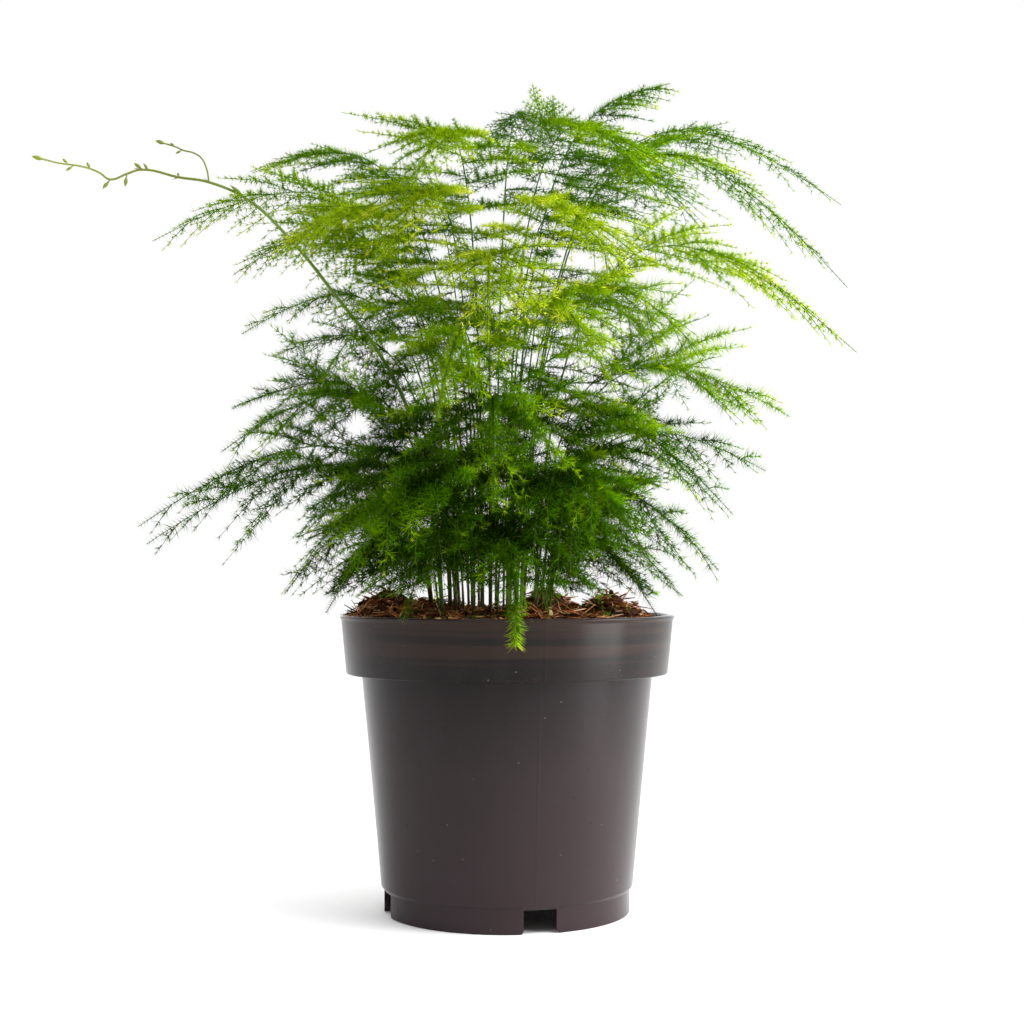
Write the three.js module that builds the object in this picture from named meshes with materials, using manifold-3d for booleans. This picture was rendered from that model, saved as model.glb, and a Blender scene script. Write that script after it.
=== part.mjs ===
// A potted lace fern, Asparagus setaceus: wiry upright stems that each arch over into a flat plume
// of side sprays, whose slim cores carry whorls of needles, with one long bare young shoot.
// It grows in peat, in a plain plastic nursery pot with a deep collar and a notched foot ring.
// Millimetres, +Z up. Each piece is laid out from the pot's axis and the plane that its foot ring stands
// on, and the whole plant is then moved so that the origin is under the middle of its box.
import * as THREE from "three";
import { mergeVertices } from "three/addons/utils/BufferGeometryUtils.js";
import Module from "manifold-3d";

const wasm = await Module();
wasm.setup();

// Driving dimensions
const pot = {
  height: 105.5,
  rimRadius: 60,
  collarHeight: 21,
  collarFootRadius: 57.5,
  wallTopRadius: 52,
  wallFootRadius: 44.9,
  footRadius: 43.8,
  footHeight: 8.4,
  thickness: 1.7,
  lip: 0.5,
  sides: 36,
};
const notch = { count: 4, firstBearing: -75, width: 11.5, height: 8.1, corner: 1.5, depth: 9 };
const drain = { radius: 4.5, fromAxis: 35, sides: 10 };
const soil = {
  level: 103.6,
  gap: 0.3,
  sectors: 18,
  topRings: [54, 46, 36, 25, 13],
  ripple: 0.7,
  mounds: [
    { x: -44, y: -6, rise: 9, spread: 13 },
    { x: -30, y: 26, rise: 6, spread: 12 },
    { x: 15, y: 27, rise: 10, spread: 9 },
    { x: 38, y: 7, rise: 9, spread: 10 },
    { x: -6, y: 0, rise: 3, spread: 24 },
    { x: 20, y: -34, rise: 2.5, spread: 12 },
  ],
};
const clump = { x: -6, y: 1 }; // where the stems rise from the soil
const stem = {
  footRadius: 0.78,
  tipRadius: 0.38,
  sunk: 6,
  sides: 3,
  holeRadius: 1.85,
  holeSides: 4,
  crestShare: 0.6, // where along its curve a stem passes the height given as its crest
  lean: 0.05, // how far out the handles of its curve are, as shares of its reach
  carry: 0.45,
  drop: 0.15, // how far the outer handle hangs, from the inner one's height to the tip's
};
const plume = {
  sprays: 5,
  firstSpray: 0.34, // shares of the stem's curve
  firstSprayLow: 0.15,
  lastSpray: 0.93,
  lowCrest: 222, // stems that arch lower than this are leafy from further down
  rootAngle: 66, // degrees between a spray and the stem, at the plume's base and at its tip
  tipAngle: 30,
  forward: 0.2, // how far a spray curves towards the plume's tip, and sags, as shares of its length
  sag: 0.2,
  steepest: 0.12, // sprays are held this level, however steep the stem is
  reach: 1.05, // how long the sprays are: at the plume's base, towards its tip, and the least
  baseShare: 0.6,
  baseGrowth: 3,
  taper: 0.9,
  shortest: 3,
  rootShare: 0.2, // how far past its ring of points on the stem a spray is rooted
  coreShare: 0.4, // how thick its core is beside the stem
};
const needle = {
  length: 5.4,
  lean: 0.75,
  clearance: 0.75,
  whorlWidth: 0.9,
  longSpray: 30, // sprays longer than this have two whorls
  whorlsOfLong: [0.45, 0.84],
  whorlsOfShort: [0.7],
};
const coreClearance = 1.5; // between the centre lines of two cores in different places
const sameSurface = 0.02; // points this near a face are part of it once pieces are joined
const sliver = 0.03; // a face thinner than this is a sliver
const rootSlide = 0.15; // how far a spray may be moved, sideways and upwards, to leave no sliver

// Each leafy stem: where its plume ends, how high it arches, how far out in the clump it is rooted,
// the length of its longest sprays, and where set, its own carry.
const leafyStems = [
  { name: "top_plume", tip: [60, 6, 300], crest: 281, ring: 7, spray: 34 },
  { name: "high_right_whip", tip: [126, 24, 259], crest: 283, ring: 11, spray: 44 },
  { name: "high_right_arch", tip: [119, -22, 220], crest: 270, ring: 12, spray: 46 },
  { name: "high_left_plume", tip: [-97, 28, 272], crest: 272, ring: 8, spray: 38 },
  { name: "high_left_arch", tip: [-127, -8, 239], crest: 256, ring: 11, spray: 42 },
  { name: "high_back_plume", tip: [14, 84, 280], crest: 298, ring: 8, spray: 44 },
  { name: "high_front_plume", tip: [-30, -84, 240], crest: 268, ring: 9, spray: 46 },
  { name: "high_front_right", tip: [50, -78, 236], crest: 272, ring: 8, spray: 46 },
  { name: "high_back_left", tip: [-64, 76, 256], crest: 272, ring: 11, spray: 44 },
  { name: "high_back_right", tip: [80, 72, 258], crest: 278, ring: 12, spray: 44 },
  { name: "mid_right_bright", tip: [120, -32, 196], crest: 236, ring: 16, spray: 46 },
  { name: "mid_left_long", tip: [-101, 10, 230], crest: 244, ring: 14, spray: 38 },
  { name: "mid_left_bright", tip: [-78, -44, 226], crest: 246, ring: 14, spray: 42 },
  { name: "mid_left_slim", tip: [-100, 24, 210], crest: 222, ring: 15, spray: 20 },
  { name: "mid_back_left", tip: [-36, 94, 212], crest: 226, ring: 14, spray: 42 },
  { name: "mid_back_right", tip: [58, 86, 214], crest: 232, ring: 16, spray: 42 },
  { name: "mid_front_right", tip: [34, -76, 178], crest: 212, ring: 14, spray: 44 },
  { name: "mid_front_left", tip: [-22, -82, 168], crest: 202, ring: 15, spray: 44 },
  { name: "low_right_fan", tip: [101, -8, 176], crest: 194, ring: 18, spray: 40 },
  { name: "low_right_dark", tip: [90, 46, 184], crest: 198, ring: 18, spray: 40 },
  { name: "low_left_fine", tip: [-84, -4, 198], crest: 204, ring: 17, spray: 30 },
  { name: "low_left_dusty", tip: [-104, 26, 182], crest: 190, ring: 18, spray: 38 },
  { name: "low_left_fan", tip: [-99, -26, 162], crest: 184, ring: 18, spray: 42 },
  { name: "low_back_fan", tip: [4, 96, 170], crest: 186, ring: 18, spray: 42 },
  { name: "base_left_sweep", tip: [-134, 4, 137], crest: 166, ring: 21, spray: 42 },
  { name: "base_left_low", tip: [-121, -42, 130], crest: 158, ring: 21, spray: 40 },
  { name: "base_left_droop", tip: [-86, 42, 112], crest: 144, ring: 21, spray: 36 },
  { name: "base_right_sweep", tip: [96, 16, 158], crest: 172, ring: 21, spray: 36 },
  { name: "base_right_droop", tip: [72, -36, 121], crest: 150, ring: 21, spray: 38 },
  { name: "base_right_low", tip: [66, 36, 111], crest: 138, ring: 22, spray: 32 },
  { name: "front_hanging", tip: [3, -69, 97], crest: 130, ring: 21, spray: 18, carry: 1 },
  { name: "front_left_low", tip: [-52, -68, 118], crest: 150, ring: 21, spray: 42 },
  { name: "front_right_low", tip: [46, -72, 124], crest: 156, ring: 20, spray: 42 },
  { name: "back_left_low", tip: [-54, 76, 128], crest: 152, ring: 21, spray: 42 },
  { name: "back_right_low", tip: [50, 84, 132], crest: 156, ring: 21, spray: 42 },
  { name: "inner_front", tip: [-4, -72, 140], crest: 180, ring: 16, spray: 44 },
  { name: "inner_front_left", tip: [-26, -62, 116], crest: 148, ring: 19, spray: 42 },
  { name: "inner_front_right", tip: [26, -60, 120], crest: 152, ring: 19, spray: 42 },
  { name: "inner_left", tip: [-70, -46, 132], crest: 164, ring: 15, spray: 42 },
  { name: "inner_right", tip: [76, -42, 140], crest: 172, ring: 18, spray: 42 },
  { name: "inner_back_left", tip: [-40, 60, 140], crest: 176, ring: 16, spray: 42 },
  { name: "inner_back_right", tip: [22, 64, 146], crest: 182, ring: 16, spray: 42 },
  { name: "upper_front_left", tip: [-40, -66, 222], crest: 250, ring: 12, spray: 46 },
  { name: "upper_front_right", tip: [36, -74, 214], crest: 244, ring: 12, spray: 46 },
  { name: "middle_front", tip: [-6, -80, 192], crest: 228, ring: 13, spray: 46 },
  { name: "middle_front_right", tip: [66, -50, 192], crest: 220, ring: 13, spray: 44 },
  { name: "middle_front_left", tip: [-62, -52, 184], crest: 214, ring: 13, spray: 44 },
  { name: "base_front_left", tip: [-34, -56, 104], crest: 134, ring: 20, spray: 44 },
  { name: "base_front_right", tip: [14, -64, 106], crest: 136, ring: 20, spray: 44 },
  { name: "base_left_inner", tip: [-64, -12, 106], crest: 134, ring: 21, spray: 40 },
  { name: "base_right_inner", tip: [54, -8, 104], crest: 132, ring: 21, spray: 40 },
];

// The young shoot that outgrows the plumes, with its side twig and buds
const shoot = {
  route: [
    [-22, -13, 98], [-25, -13, 130], [-33, -12, 172], [-44, -11, 196], [-61, -11, 219], [-78, -10, 240],
    [-93, -8, 254], [-107, -7, 260.5], [-118, -6, 262.5], [-132, -5, 265.5], [-137, -5, 264],
    [-143, -5, 262], [-147, -5, 264.5], [-152.5, -5, 266.5], [-162, -5, 268], [-167, -5, 269.3],
  ],
  twig: [
    [-107, -7, 260.5], [-108, -6.5, 265.5], [-110, -6, 269.5], [-113, -5.5, 271.5],
    [-116.6, -5, 272.5], [-119.5, -5, 273.8], [-122.6, -5, 274.8],
  ],
  footRadius: 0.95,
  tipRadius: 0.35,
  steps: 24,
  sides: 4,
};
// Buds: which point each is rooted on, the way it points, its length and its girth
const buds = [
  { at: [-166, -5, 269], way: [-1, 0, 0.25], length: 5.5, radius: 0.9 },
  { at: [-158, -5, 267.4], way: [-0.7, 0.2, 0.7], length: 3.4, radius: 0.55 },
  { at: [-156, -5, 267.1], way: [-0.8, -0.2, -0.6], length: 3.6, radius: 0.55 },
  { at: [-150, -5, 265.6], way: [-0.5, 0, 0.9], length: 3, radius: 0.6 },
  { at: [-137, -5, 264], way: [-0.1, -0.1, -1], length: 4.8, radius: 0.7 },
  { at: [-142.8, -5, 262.1], way: [-0.7, 0.1, -0.8], length: 4.6, radius: 0.65 },
  { at: [-131, -5, 265.3], way: [-0.9, 0.1, 0.7], length: 4.4, radius: 0.75 },
  { at: [-129, -5.2, 264.9], way: [-0.6, -0.3, 0.9], length: 3.4, radius: 0.5 },
  { at: [-118, -6, 262.5], way: [-0.3, 0.5, 0.9], length: 2.4, radius: 0.45 },
  { at: [-93, -8, 254], way: [-0.9, -0.1, 0.75], length: 8, radius: 0.75 },
  { at: [-122.4, -5, 274.7], way: [-1, 0, 0.3], length: 4.6, radius: 0.8 },
  { at: [-117, -5, 272.7], way: [-0.9, 0, -0.5], length: 2.8, radius: 0.45 },
  { at: [-119.5, -5, 273.8], way: [-0.8, 0.3, 0.6], length: 2.8, radius: 0.45 },
];

const up = new THREE.Vector3(0, 0, 1);
const vector = ([x, y, z]) => new THREE.Vector3(x, y, z);

// Solids

function solidOf(geometry) {
  const bare = new THREE.BufferGeometry().setAttribute("position", geometry.getAttribute("position"));
  if (geometry.index) bare.setIndex(geometry.index);
  const merged = mergeVertices(bare, 1e-3);
  const vertProperties = merged.getAttribute("position").array;
  const triVerts = new Uint32Array(merged.index.array);
  return new wasm.Manifold(new wasm.Mesh({ numProp: 3, vertProperties, triVerts }));
}

function geometryOf(solid) {
  const { vertProperties, triVerts } = solid.getMesh();
  const geometry = new THREE.BufferGeometry();
  geometry.setAttribute("position", new THREE.BufferAttribute(vertProperties, 3));
  geometry.setIndex(new THREE.BufferAttribute(triVerts, 1));
  const faceted = geometry.toNonIndexed();
  faceted.computeVertexNormals();
  return faceted;
}

// A solid without the points that its joints left inside flat faces and along straight edges
function tidied(solid) {
  return solid.asOriginal().simplify(sameSurface);
}

// The height of a solid's thinnest face
function thinnestFace(solid) {
  const { vertProperties, triVerts } = solid.getMesh();
  const corner = (i) => new THREE.Vector3().fromArray(vertProperties, 3 * triVerts[i]);
  let thinnest = Infinity;
  for (let i = 0; i < triVerts.length; i += 3) {
    const face = new THREE.Triangle(corner(i), corner(i + 1), corner(i + 2));
    const { a, b, c } = face;
    const longest = Math.max(a.distanceTo(b), b.distanceTo(c), c.distanceTo(a));
    thinnest = Math.min(thinnest, (2 * face.getArea()) / longest);
  }
  return thinnest;
}

const rootSlides = [];
for (const rise of [0, 0.5, -0.5, 1, -1, 1.5, -1.5]) {
  for (const bearing of [0, 90, 180, 270]) {
    const way = THREE.MathUtils.degToRad(bearing);
    rootSlides.push([Math.cos(way), Math.sin(way), rise].map((share) => share * rootSlide));
  }
}

// A solid with a part rooted in it. The part is moved a little where the joint would leave slivers.
function joined(solid, part) {
  let best = { thinnest: 0 };
  for (const slide of rootSlides) {
    const whole = tidied(solid.add(part.translate(slide)));
    const thinnest = thinnestFace(whole);
    if (thinnest > best.thinnest) best = { whole, thinnest };
    if (thinnest > sliver) break;
  }
  return best.whole;
}

// A profile of [radius, height] pairs, turned about the Z axis
function turned(profile, sides) {
  const points = profile.map(([radius, height]) => new THREE.Vector2(radius, height));
  return new THREE.LatheGeometry(points, sides).rotateX(Math.PI / 2);
}

// The pot

function potSolid() {
  const { height, rimRadius, wallTopRadius, wallFootRadius, footRadius, footHeight, thickness, lip } = pot;
  const collarFoot = height - pot.collarHeight;
  const profile = [
    [0, footHeight],
    [footRadius - thickness, footHeight],
    [footRadius - thickness, 0],
    [footRadius, 0],
    [footRadius, footHeight],
    [wallFootRadius, footHeight + 1],
    [wallTopRadius, collarFoot],
    [pot.collarFootRadius, collarFoot],
    [rimRadius - lip, height - 2 * lip],
    [rimRadius, height - lip],
    [rimRadius, height],
    [rimRadius - thickness, height],
    [pot.collarFootRadius - thickness, collarFoot + thickness],
    [wallTopRadius - thickness, collarFoot + thickness],
    [wallFootRadius - thickness, footHeight + thickness],
    [0, footHeight + thickness],
  ];
  let solid = solidOf(turned(profile, pot.sides));
  for (let i = 0; i < notch.count; i++) {
    const bearing = THREE.MathUtils.degToRad(notch.firstBearing + (i * 360) / notch.count);
    solid = solid.subtract(solidOf(notchCutter().rotateZ(bearing)));
    const hole = new THREE.CylinderGeometry(drain.radius, drain.radius, 4 * thickness, drain.sides);
    hole.rotateX(Math.PI / 2).translate(drain.fromAxis, 0, footHeight).rotateZ(bearing);
    solid = solid.subtract(solidOf(hole));
  }
  return tidied(solid);
}

// The space of one notch in the foot ring, on the +X side, with the ring's corners beside it rounded
function notchCutter() {
  const { width, height, corner, depth } = notch;
  const half = width / 2;
  const below = -2;
  const outline = new THREE.Shape();
  outline.moveTo(-half - corner, below);
  outline.lineTo(half + corner, below);
  outline.lineTo(half + corner, 0);
  outline.absarc(half + corner, corner, corner, -Math.PI / 2, -Math.PI, true);
  outline.lineTo(half, height);
  outline.lineTo(-half, height);
  outline.absarc(-half - corner, corner, corner, 0, -Math.PI / 2, true);
  outline.closePath();
  const cutter = new THREE.ExtrudeGeometry(outline, { depth, bevelEnabled: false, curveSegments: 3 });
  // from the outline's own plane to one that faces along X
  cutter.rotateX(Math.PI / 2).rotateZ(Math.PI / 2);
  return cutter.translate(pot.footRadius - depth / 2, 0, 0);
}

// The soil

function soilTop(x, y) {
  const edge = pot.rimRadius - pot.thickness - soil.gap;
  const inward = 1 - Math.min(1, Math.hypot(x, y) / edge) ** 8;
  let rise = soil.ripple * Math.sin(x * 0.41 + 1.3) * Math.sin(y * 0.37 + 0.4);
  for (const mound of soil.mounds) {
    const apart = Math.hypot(x - mound.x, y - mound.y) / mound.spread;
    rise += mound.rise * Math.exp(-apart * apart);
  }
  return soil.level + rise * inward;
}

function soilSolid(stems) {
  const { gap, level } = soil;
  const inner = pot.thickness + gap;
  const ledge = pot.height - pot.collarHeight + pot.thickness + gap;
  const profile = [
    [0, pot.footHeight + pot.thickness],
    [pot.wallFootRadius - inner, pot.footHeight + pot.thickness],
    [pot.wallTopRadius - inner, ledge],
    [pot.collarFootRadius - inner, ledge],
    [pot.rimRadius - inner - gap / 2, level],
    ...soil.topRings.map((radius) => [radius, level]),
    [0, level],
  ];
  const bed = turned(profile, soil.sectors);
  const place = bed.getAttribute("position");
  for (let i = 0; i < place.count; i++) {
    if (place.getZ(i) > level - gap) place.setZ(i, soilTop(place.getX(i), place.getY(i)));
  }
  let solid = solidOf(bed);
  for (const [foot, next] of stems) {
    const middle = foot.clone().lerp(next, stem.sunk / 2 / (next.z - foot.z));
    const depth = 2 * stem.sunk;
    const hole = new THREE.CylinderGeometry(stem.holeRadius, stem.holeRadius, depth, stem.holeSides);
    hole.rotateX(Math.PI / 2).translate(middle.x, middle.y, foot.z + depth / 2 - 1.5 * gap);
    solid = solid.subtract(solidOf(hole));
  }
  return tidied(solid);
}

// The stretches of stem, core and needle made so far, which later ones keep clear of

const occupied = [];

function occupy(from, to, owner) {
  occupied.push({ line: new THREE.Line3(from.clone(), to.clone()), owner });
}

function clearOfPotAndSoil(point) {
  const radius = Math.hypot(point.x, point.y);
  const rim = pot.rimRadius + 2 * needle.clearance;
  if (radius > rim) return true;
  return point.z > Math.max(pot.height, soilTop(point.x, point.y)) + 2 * needle.clearance;
}

function isClear(from, to, clearance, owners) {
  if (![0.5, 1].every((share) => clearOfPotAndSoil(from.clone().lerp(to, share)))) return false;
  const line = new THREE.Line3(from, to);
  const half = from.distanceTo(to) / 2;
  const middle = from.clone().lerp(to, 0.5);
  const reach = half + clearance;
  return occupied.every((other) => {
    if (owners.includes(other.owner)) return true;
    const room = reach + other.line.distance() / 2;
    const centre = other.line.start.clone().lerp(other.line.end, 0.5);
    if (middle.distanceTo(centre) > room) return true;
    return line.distanceSqToLine3(other.line) > clearance * clearance;
  });
}

// A slim shoot through `points`, with a radius at each, flat at its root and drawn to a point at its end.
// One of its edges runs along its `back`. The `whorls` are the places in `points` where a short stretch
// begins whose faces rise into needles.
const aslant = new THREE.Vector3(0.31, 0.95, 0.12);
function shootSolid({ points, radii, sides, back = aslant, whorls = [], owner }) {
  const rings = [];
  let across = back.clone();
  for (let i = 0; i < points.length - 1; i++) {
    const before = points[Math.max(0, i - 1)];
    const along = points[i + 1].clone().sub(before).normalize();
    across = across.addScaledVector(along, -across.dot(along)).normalize();
    const over = along.clone().cross(across);
    const ring = [];
    for (let j = 0; j < sides; j++) {
      const angle = (2 * Math.PI * j) / sides;
      const spoke = across.clone().multiplyScalar(Math.cos(angle)).addScaledVector(over, Math.sin(angle));
      ring.push(points[i].clone().addScaledVector(spoke, radii[i]));
    }
    rings.push(ring);
  }
  const faces = [];
  for (let j = 1; j < sides - 1; j++) faces.push([rings[0][0], rings[0][j + 1], rings[0][j]]);
  for (let i = 0; i < rings.length - 1; i++) {
    for (let j = 0; j < sides; j++) {
      const k = (j + 1) % sides;
      const [a, b, c, d] = [rings[i][j], rings[i][k], rings[i + 1][k], rings[i + 1][j]];
      // both faces beside the back are split the same way, clear of the sprays' roots
      const pair = k === 0 ? [[a, b, d], [b, c, d]] : [[a, b, c], [a, c, d]];
      if (whorls.includes(i)) for (const face of pair) faces.push(...needleOn(face, points, i, owner));
      else faces.push(...pair);
    }
  }
  const last = rings.length - 1;
  const end = points[points.length - 1];
  for (let j = 0; j < sides; j++) faces.push([rings[last][j], rings[last][(j + 1) % sides], end]);
  const geometry = new THREE.BufferGeometry().setFromPoints(faces.flat());
  return solidOf(geometry);
}

// One face of a core drawn out into a three-sided needle, or left as it is where there is no room
function needleOn(face, points, i, owner) {
  const root = face[0].clone().add(face[1]).add(face[2]).divideScalar(3);
  const along = points[i + 1].clone().sub(points[i]).normalize();
  const outward = root.clone().sub(points[i]);
  outward.addScaledVector(along, -outward.dot(along)).normalize();
  const direction = outward.addScaledVector(along, needle.lean).normalize();
  const end = root.clone().addScaledVector(direction, needle.length);
  if (!isClear(root, end, needle.clearance, [owner])) return [face];
  occupy(root, end, owner);
  return [
    [face[0], face[1], end],
    [face[1], face[2], end],
    [face[2], face[0], end],
  ];
}

// Leafy stems

// The whole run of one stem, from its foot in the soil up and over to its plume's tip
function stemCurve({ tip, crest, ring, carry = stem.carry }) {
  const reach = Math.hypot(tip[0] - clump.x, tip[1] - clump.y);
  const foot = new THREE.Vector3(
    clump.x + (ring * (tip[0] - clump.x)) / reach,
    clump.y + (ring * (tip[1] - clump.y)) / reach,
  );
  foot.z = soilTop(foot.x, foot.y) - stem.sunk;
  const end = vector(tip);
  // the height of the inner handle that makes the curve pass the crest
  const { crestShare: share, drop } = stem;
  const rest = 1 - share;
  const inner = 3 * rest * rest * share;
  const outer = 3 * rest * share * share;
  const fixed = rest ** 3 * foot.z + (share ** 3 + outer * drop) * end.z;
  const handle = (crest - fixed) / (inner + outer * (1 - drop));
  const lift = foot.clone().lerp(end, stem.lean).setZ(handle);
  const arch = foot.clone().lerp(end, carry).setZ(THREE.MathUtils.lerp(handle, end.z, drop));
  return new THREE.CubicBezierCurve3(foot, lift, arch, end);
}

// The shares of a stem's curve that it has a ring of points at: below its sprays, at each of their roots,
// and at the whorl of needles before its tip
const bareParts = [0, 0.55];
const tipWhorl = [0.965, 0.969];
const stepsOf = { high: [], low: [] };
for (const [kind, first] of [["high", plume.firstSpray], ["low", plume.firstSprayLow]]) {
  const roots = [];
  for (let k = 0; k < plume.sprays; k++) {
    roots.push(THREE.MathUtils.lerp(first, plume.lastSpray, k / (plume.sprays - 1)));
  }
  stepsOf[kind] = [...bareParts.map((part) => part * first), ...roots, ...tipWhorl, 1];
}

function stemRadius(share) {
  return THREE.MathUtils.lerp(stem.footRadius, stem.tipRadius, share);
}

// The centre line of one spray: where it leaves the stem, its first direction, and its bend
function sprayCurve(plan, k, shape) {
  const root = bareParts.length + k;
  const [ring, next] = plan.points.slice(root);
  const start = ring.clone().lerp(next, plume.rootShare);
  const along = next.clone().sub(ring);
  along.z = Math.min(along.z, plume.steepest * Math.hypot(along.x, along.y));
  along.normalize();
  const side = k % 2 ? 1 : -1;
  const first = plan.shares[bareParts.length];
  const grown = (plan.shares[root] - first) / (1 - first);
  const longest = plume.reach * shape.short * plan.spray;
  const swell = Math.min(1, plume.baseShare + plume.baseGrowth * grown);
  const length = longest * swell * (1 - grown) ** plume.taper + plume.shortest;
  const angle = THREE.MathUtils.lerp(plume.rootAngle, plume.tipAngle, grown) + shape.swing;
  const sideways = along.clone().cross(up).normalize().multiplyScalar(side);
  const away = THREE.MathUtils.degToRad(angle);
  const tilt = Math.tan(THREE.MathUtils.degToRad(shape.lift));
  const way = along.clone().multiplyScalar(Math.cos(away)).addScaledVector(sideways, Math.sin(away));
  way.addScaledVector(up, tilt);
  const at = (part) =>
    start
      .clone()
      .addScaledVector(way, length * part)
      .addScaledVector(along, plume.forward * length * part * part)
      .addScaledVector(up, -plume.sag * length * part * part);
  return { at, length };
}

// The ways a spray may be bent to pass its neighbours, the least bent first
const sprayShapes = [];
for (const short of [1, 0.8, 0.6]) {
  for (const lift of [0, 7, -7, 14, -14, 21]) {
    for (const swing of [0, -10, 10]) sprayShapes.push({ short, lift, swing });
  }
}

function clearSpray(plan, k) {
  for (const shape of sprayShapes) {
    const spray = sprayCurve(plan, k, shape);
    const parts = [0.12, 0.4, 0.7, 1].map(spray.at);
    const free = [0, 1, 2].every((i) => isClear(parts[i], parts[i + 1], coreClearance, [plan.name]));
    if (free) return { ...spray, parts };
  }
  return null;
}

const laid = leafyStems.map((plan) => {
  const curve = stemCurve(plan);
  const shares = stepsOf[plan.crest > plume.lowCrest ? "high" : "low"];
  return { ...plan, shares, points: shares.map((share) => curve.getPoint(share)), sprays: [] };
});
const shootCurve = new THREE.CatmullRomCurve3(shoot.route.map(vector), false, "centripetal");
const twigCurve = new THREE.CatmullRomCurve3(shoot.twig.map(vector), false, "centripetal");

for (const { name, points } of laid) {
  for (let i = 0; i < points.length - 1; i++) occupy(points[i], points[i + 1], name);
}
for (const curve of [shootCurve, twigCurve]) {
  const points = curve.getPoints(shoot.steps);
  for (let i = 0; i < shoot.steps; i++) occupy(points[i], points[i + 1], "young_shoot");
}
// sprays are laid round by round, so that no plume takes all the room
for (let k = 0; k < plume.sprays; k++) {
  for (const plan of laid) {
    const spray = clearSpray(plan, k);
    if (!spray) continue;
    const long = spray.length > needle.longSpray;
    const radius = plume.coreShare * stemRadius(plan.shares[bareParts.length + k]);
    const whorls = long ? needle.whorlsOfLong : needle.whorlsOfShort;
    plan.sprays.push({ ...spray, radius, whorls, owner: plan.name + k });
    for (let i = 0; i < 3; i++) occupy(spray.parts[i], spray.parts[i + 1], plan.name + k);
  }
}

function spraySolid({ at, length, radius, whorls, owner }) {
  const half = needle.whorlWidth / 2 / length;
  const shares = [0, ...whorls.flatMap((part) => [part - half, part + half]), 1];
  const radii = shares.map((part) => radius * (1 - 0.3 * part));
  const begins = whorls.map((_, i) => 1 + 2 * i);
  return shootSolid({ points: shares.map(at), radii, sides: 3, whorls: begins, owner });
}

function leafyStemSolid({ name, shares, points, sprays }) {
  const back = points[0].clone().sub(points[points.length - 1]).setZ(0).normalize();
  const whorls = [shares.indexOf(tipWhorl[0])];
  const radii = shares.map(stemRadius);
  let solid = shootSolid({ points, radii, sides: stem.sides, back, whorls, owner: name });
  for (const spray of sprays) solid = joined(solid, spraySolid(spray));
  return solid;
}

// A bud: a short spindle on its stalk, rooted inside the shoot
function budSolid({ at, way, length, radius }) {
  const root = vector(at);
  const direction = vector(way).normalize();
  const shares = [0, 0.35, 0.6, 0.85, 1];
  const swell = [0.25, 0.3, 1, 0.7, 0];
  const points = shares.map((share) => root.clone().addScaledVector(direction, share * length));
  return shootSolid({ points, radii: swell.map((part) => part * radius), sides: 3 });
}

function youngShootSolid() {
  const taper = (share) => THREE.MathUtils.lerp(shoot.footRadius, shoot.tipRadius, share);
  const shares = Array.from({ length: shoot.steps + 1 }, (_, i) => i / shoot.steps);
  const points = shares.map((share) => shootCurve.getPoint(share));
  const twigPoints = twigCurve.getPoints(8);
  const twigRadii = twigPoints.map(() => shoot.tipRadius);
  let solid = shootSolid({ points, radii: shares.map(taper), sides: shoot.sides });
  solid = solid.add(shootSolid({ points: twigPoints, radii: twigRadii, sides: 3 }));
  for (const bud of buds) solid = solid.add(budSolid(bud));
  return tidied(solid);
}

// Assembly

const finishes = {
  pot: { color: 0x4a4143, roughness: 0.42, metalness: 0 },
  soil: { color: 0x4b2f20, roughness: 0.95, metalness: 0 },
  foliage: { color: 0x3f8a1e, roughness: 0.6, metalness: 0 },
  shoot: { color: 0x8a9a3a, roughness: 0.55, metalness: 0 },
};

const fern = new THREE.Group();
function addPiece(name, solid, finish) {
  const piece = new THREE.Mesh(geometryOf(solid), new THREE.MeshStandardMaterial(finishes[finish]));
  piece.name = name;
  fern.add(piece);
}

const stems = [...laid.map(({ points }) => points), [shootCurve.getPoint(0), shootCurve.getPoint(0.05)]];
addPiece("pot", potSolid(), "pot");
addPiece("soil", soilSolid(stems), "soil");
for (const plan of laid) addPiece(plan.name, leafyStemSolid(plan), "foliage");
addPiece("young_shoot", youngShootSolid(), "shoot");

const middle = new THREE.Box3().setFromObject(fern).getCenter(new THREE.Vector3());
fern.position.set(-middle.x, -middle.y, 0);

export default fern;
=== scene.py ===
import math
import random

import bmesh
import bpy
from mathutils import Color, Matrix, Vector, noise


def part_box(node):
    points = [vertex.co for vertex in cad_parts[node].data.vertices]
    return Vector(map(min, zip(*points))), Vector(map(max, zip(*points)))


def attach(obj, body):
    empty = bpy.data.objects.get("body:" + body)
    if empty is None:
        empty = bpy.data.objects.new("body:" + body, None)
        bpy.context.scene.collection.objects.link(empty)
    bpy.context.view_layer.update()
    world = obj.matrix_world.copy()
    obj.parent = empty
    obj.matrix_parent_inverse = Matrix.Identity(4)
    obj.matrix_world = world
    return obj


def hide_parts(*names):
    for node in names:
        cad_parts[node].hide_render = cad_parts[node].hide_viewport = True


# The looks of a potted lace fern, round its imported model. Pieces are laid out in millimetres from the
# pot's axis, as the model's source does it, and are scaled and moved to their place when they are kept.
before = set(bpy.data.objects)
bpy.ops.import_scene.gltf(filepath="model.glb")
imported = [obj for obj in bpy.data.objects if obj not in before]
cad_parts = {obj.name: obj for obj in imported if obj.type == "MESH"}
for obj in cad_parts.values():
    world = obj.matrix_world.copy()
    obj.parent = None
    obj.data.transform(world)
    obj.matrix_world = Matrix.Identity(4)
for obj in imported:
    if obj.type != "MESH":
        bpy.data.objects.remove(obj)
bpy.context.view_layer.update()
mm = 0.001

potLow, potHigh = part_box("pot")
potAxis = Vector(((potLow.x + potHigh.x) / 2, (potLow.y + potHigh.y) / 2, 0))
toPlace = Matrix.Translation(potAxis) @ Matrix.Scale(mm, 4)
up = Vector((0, 0, 1))


# Shared helpers

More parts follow.
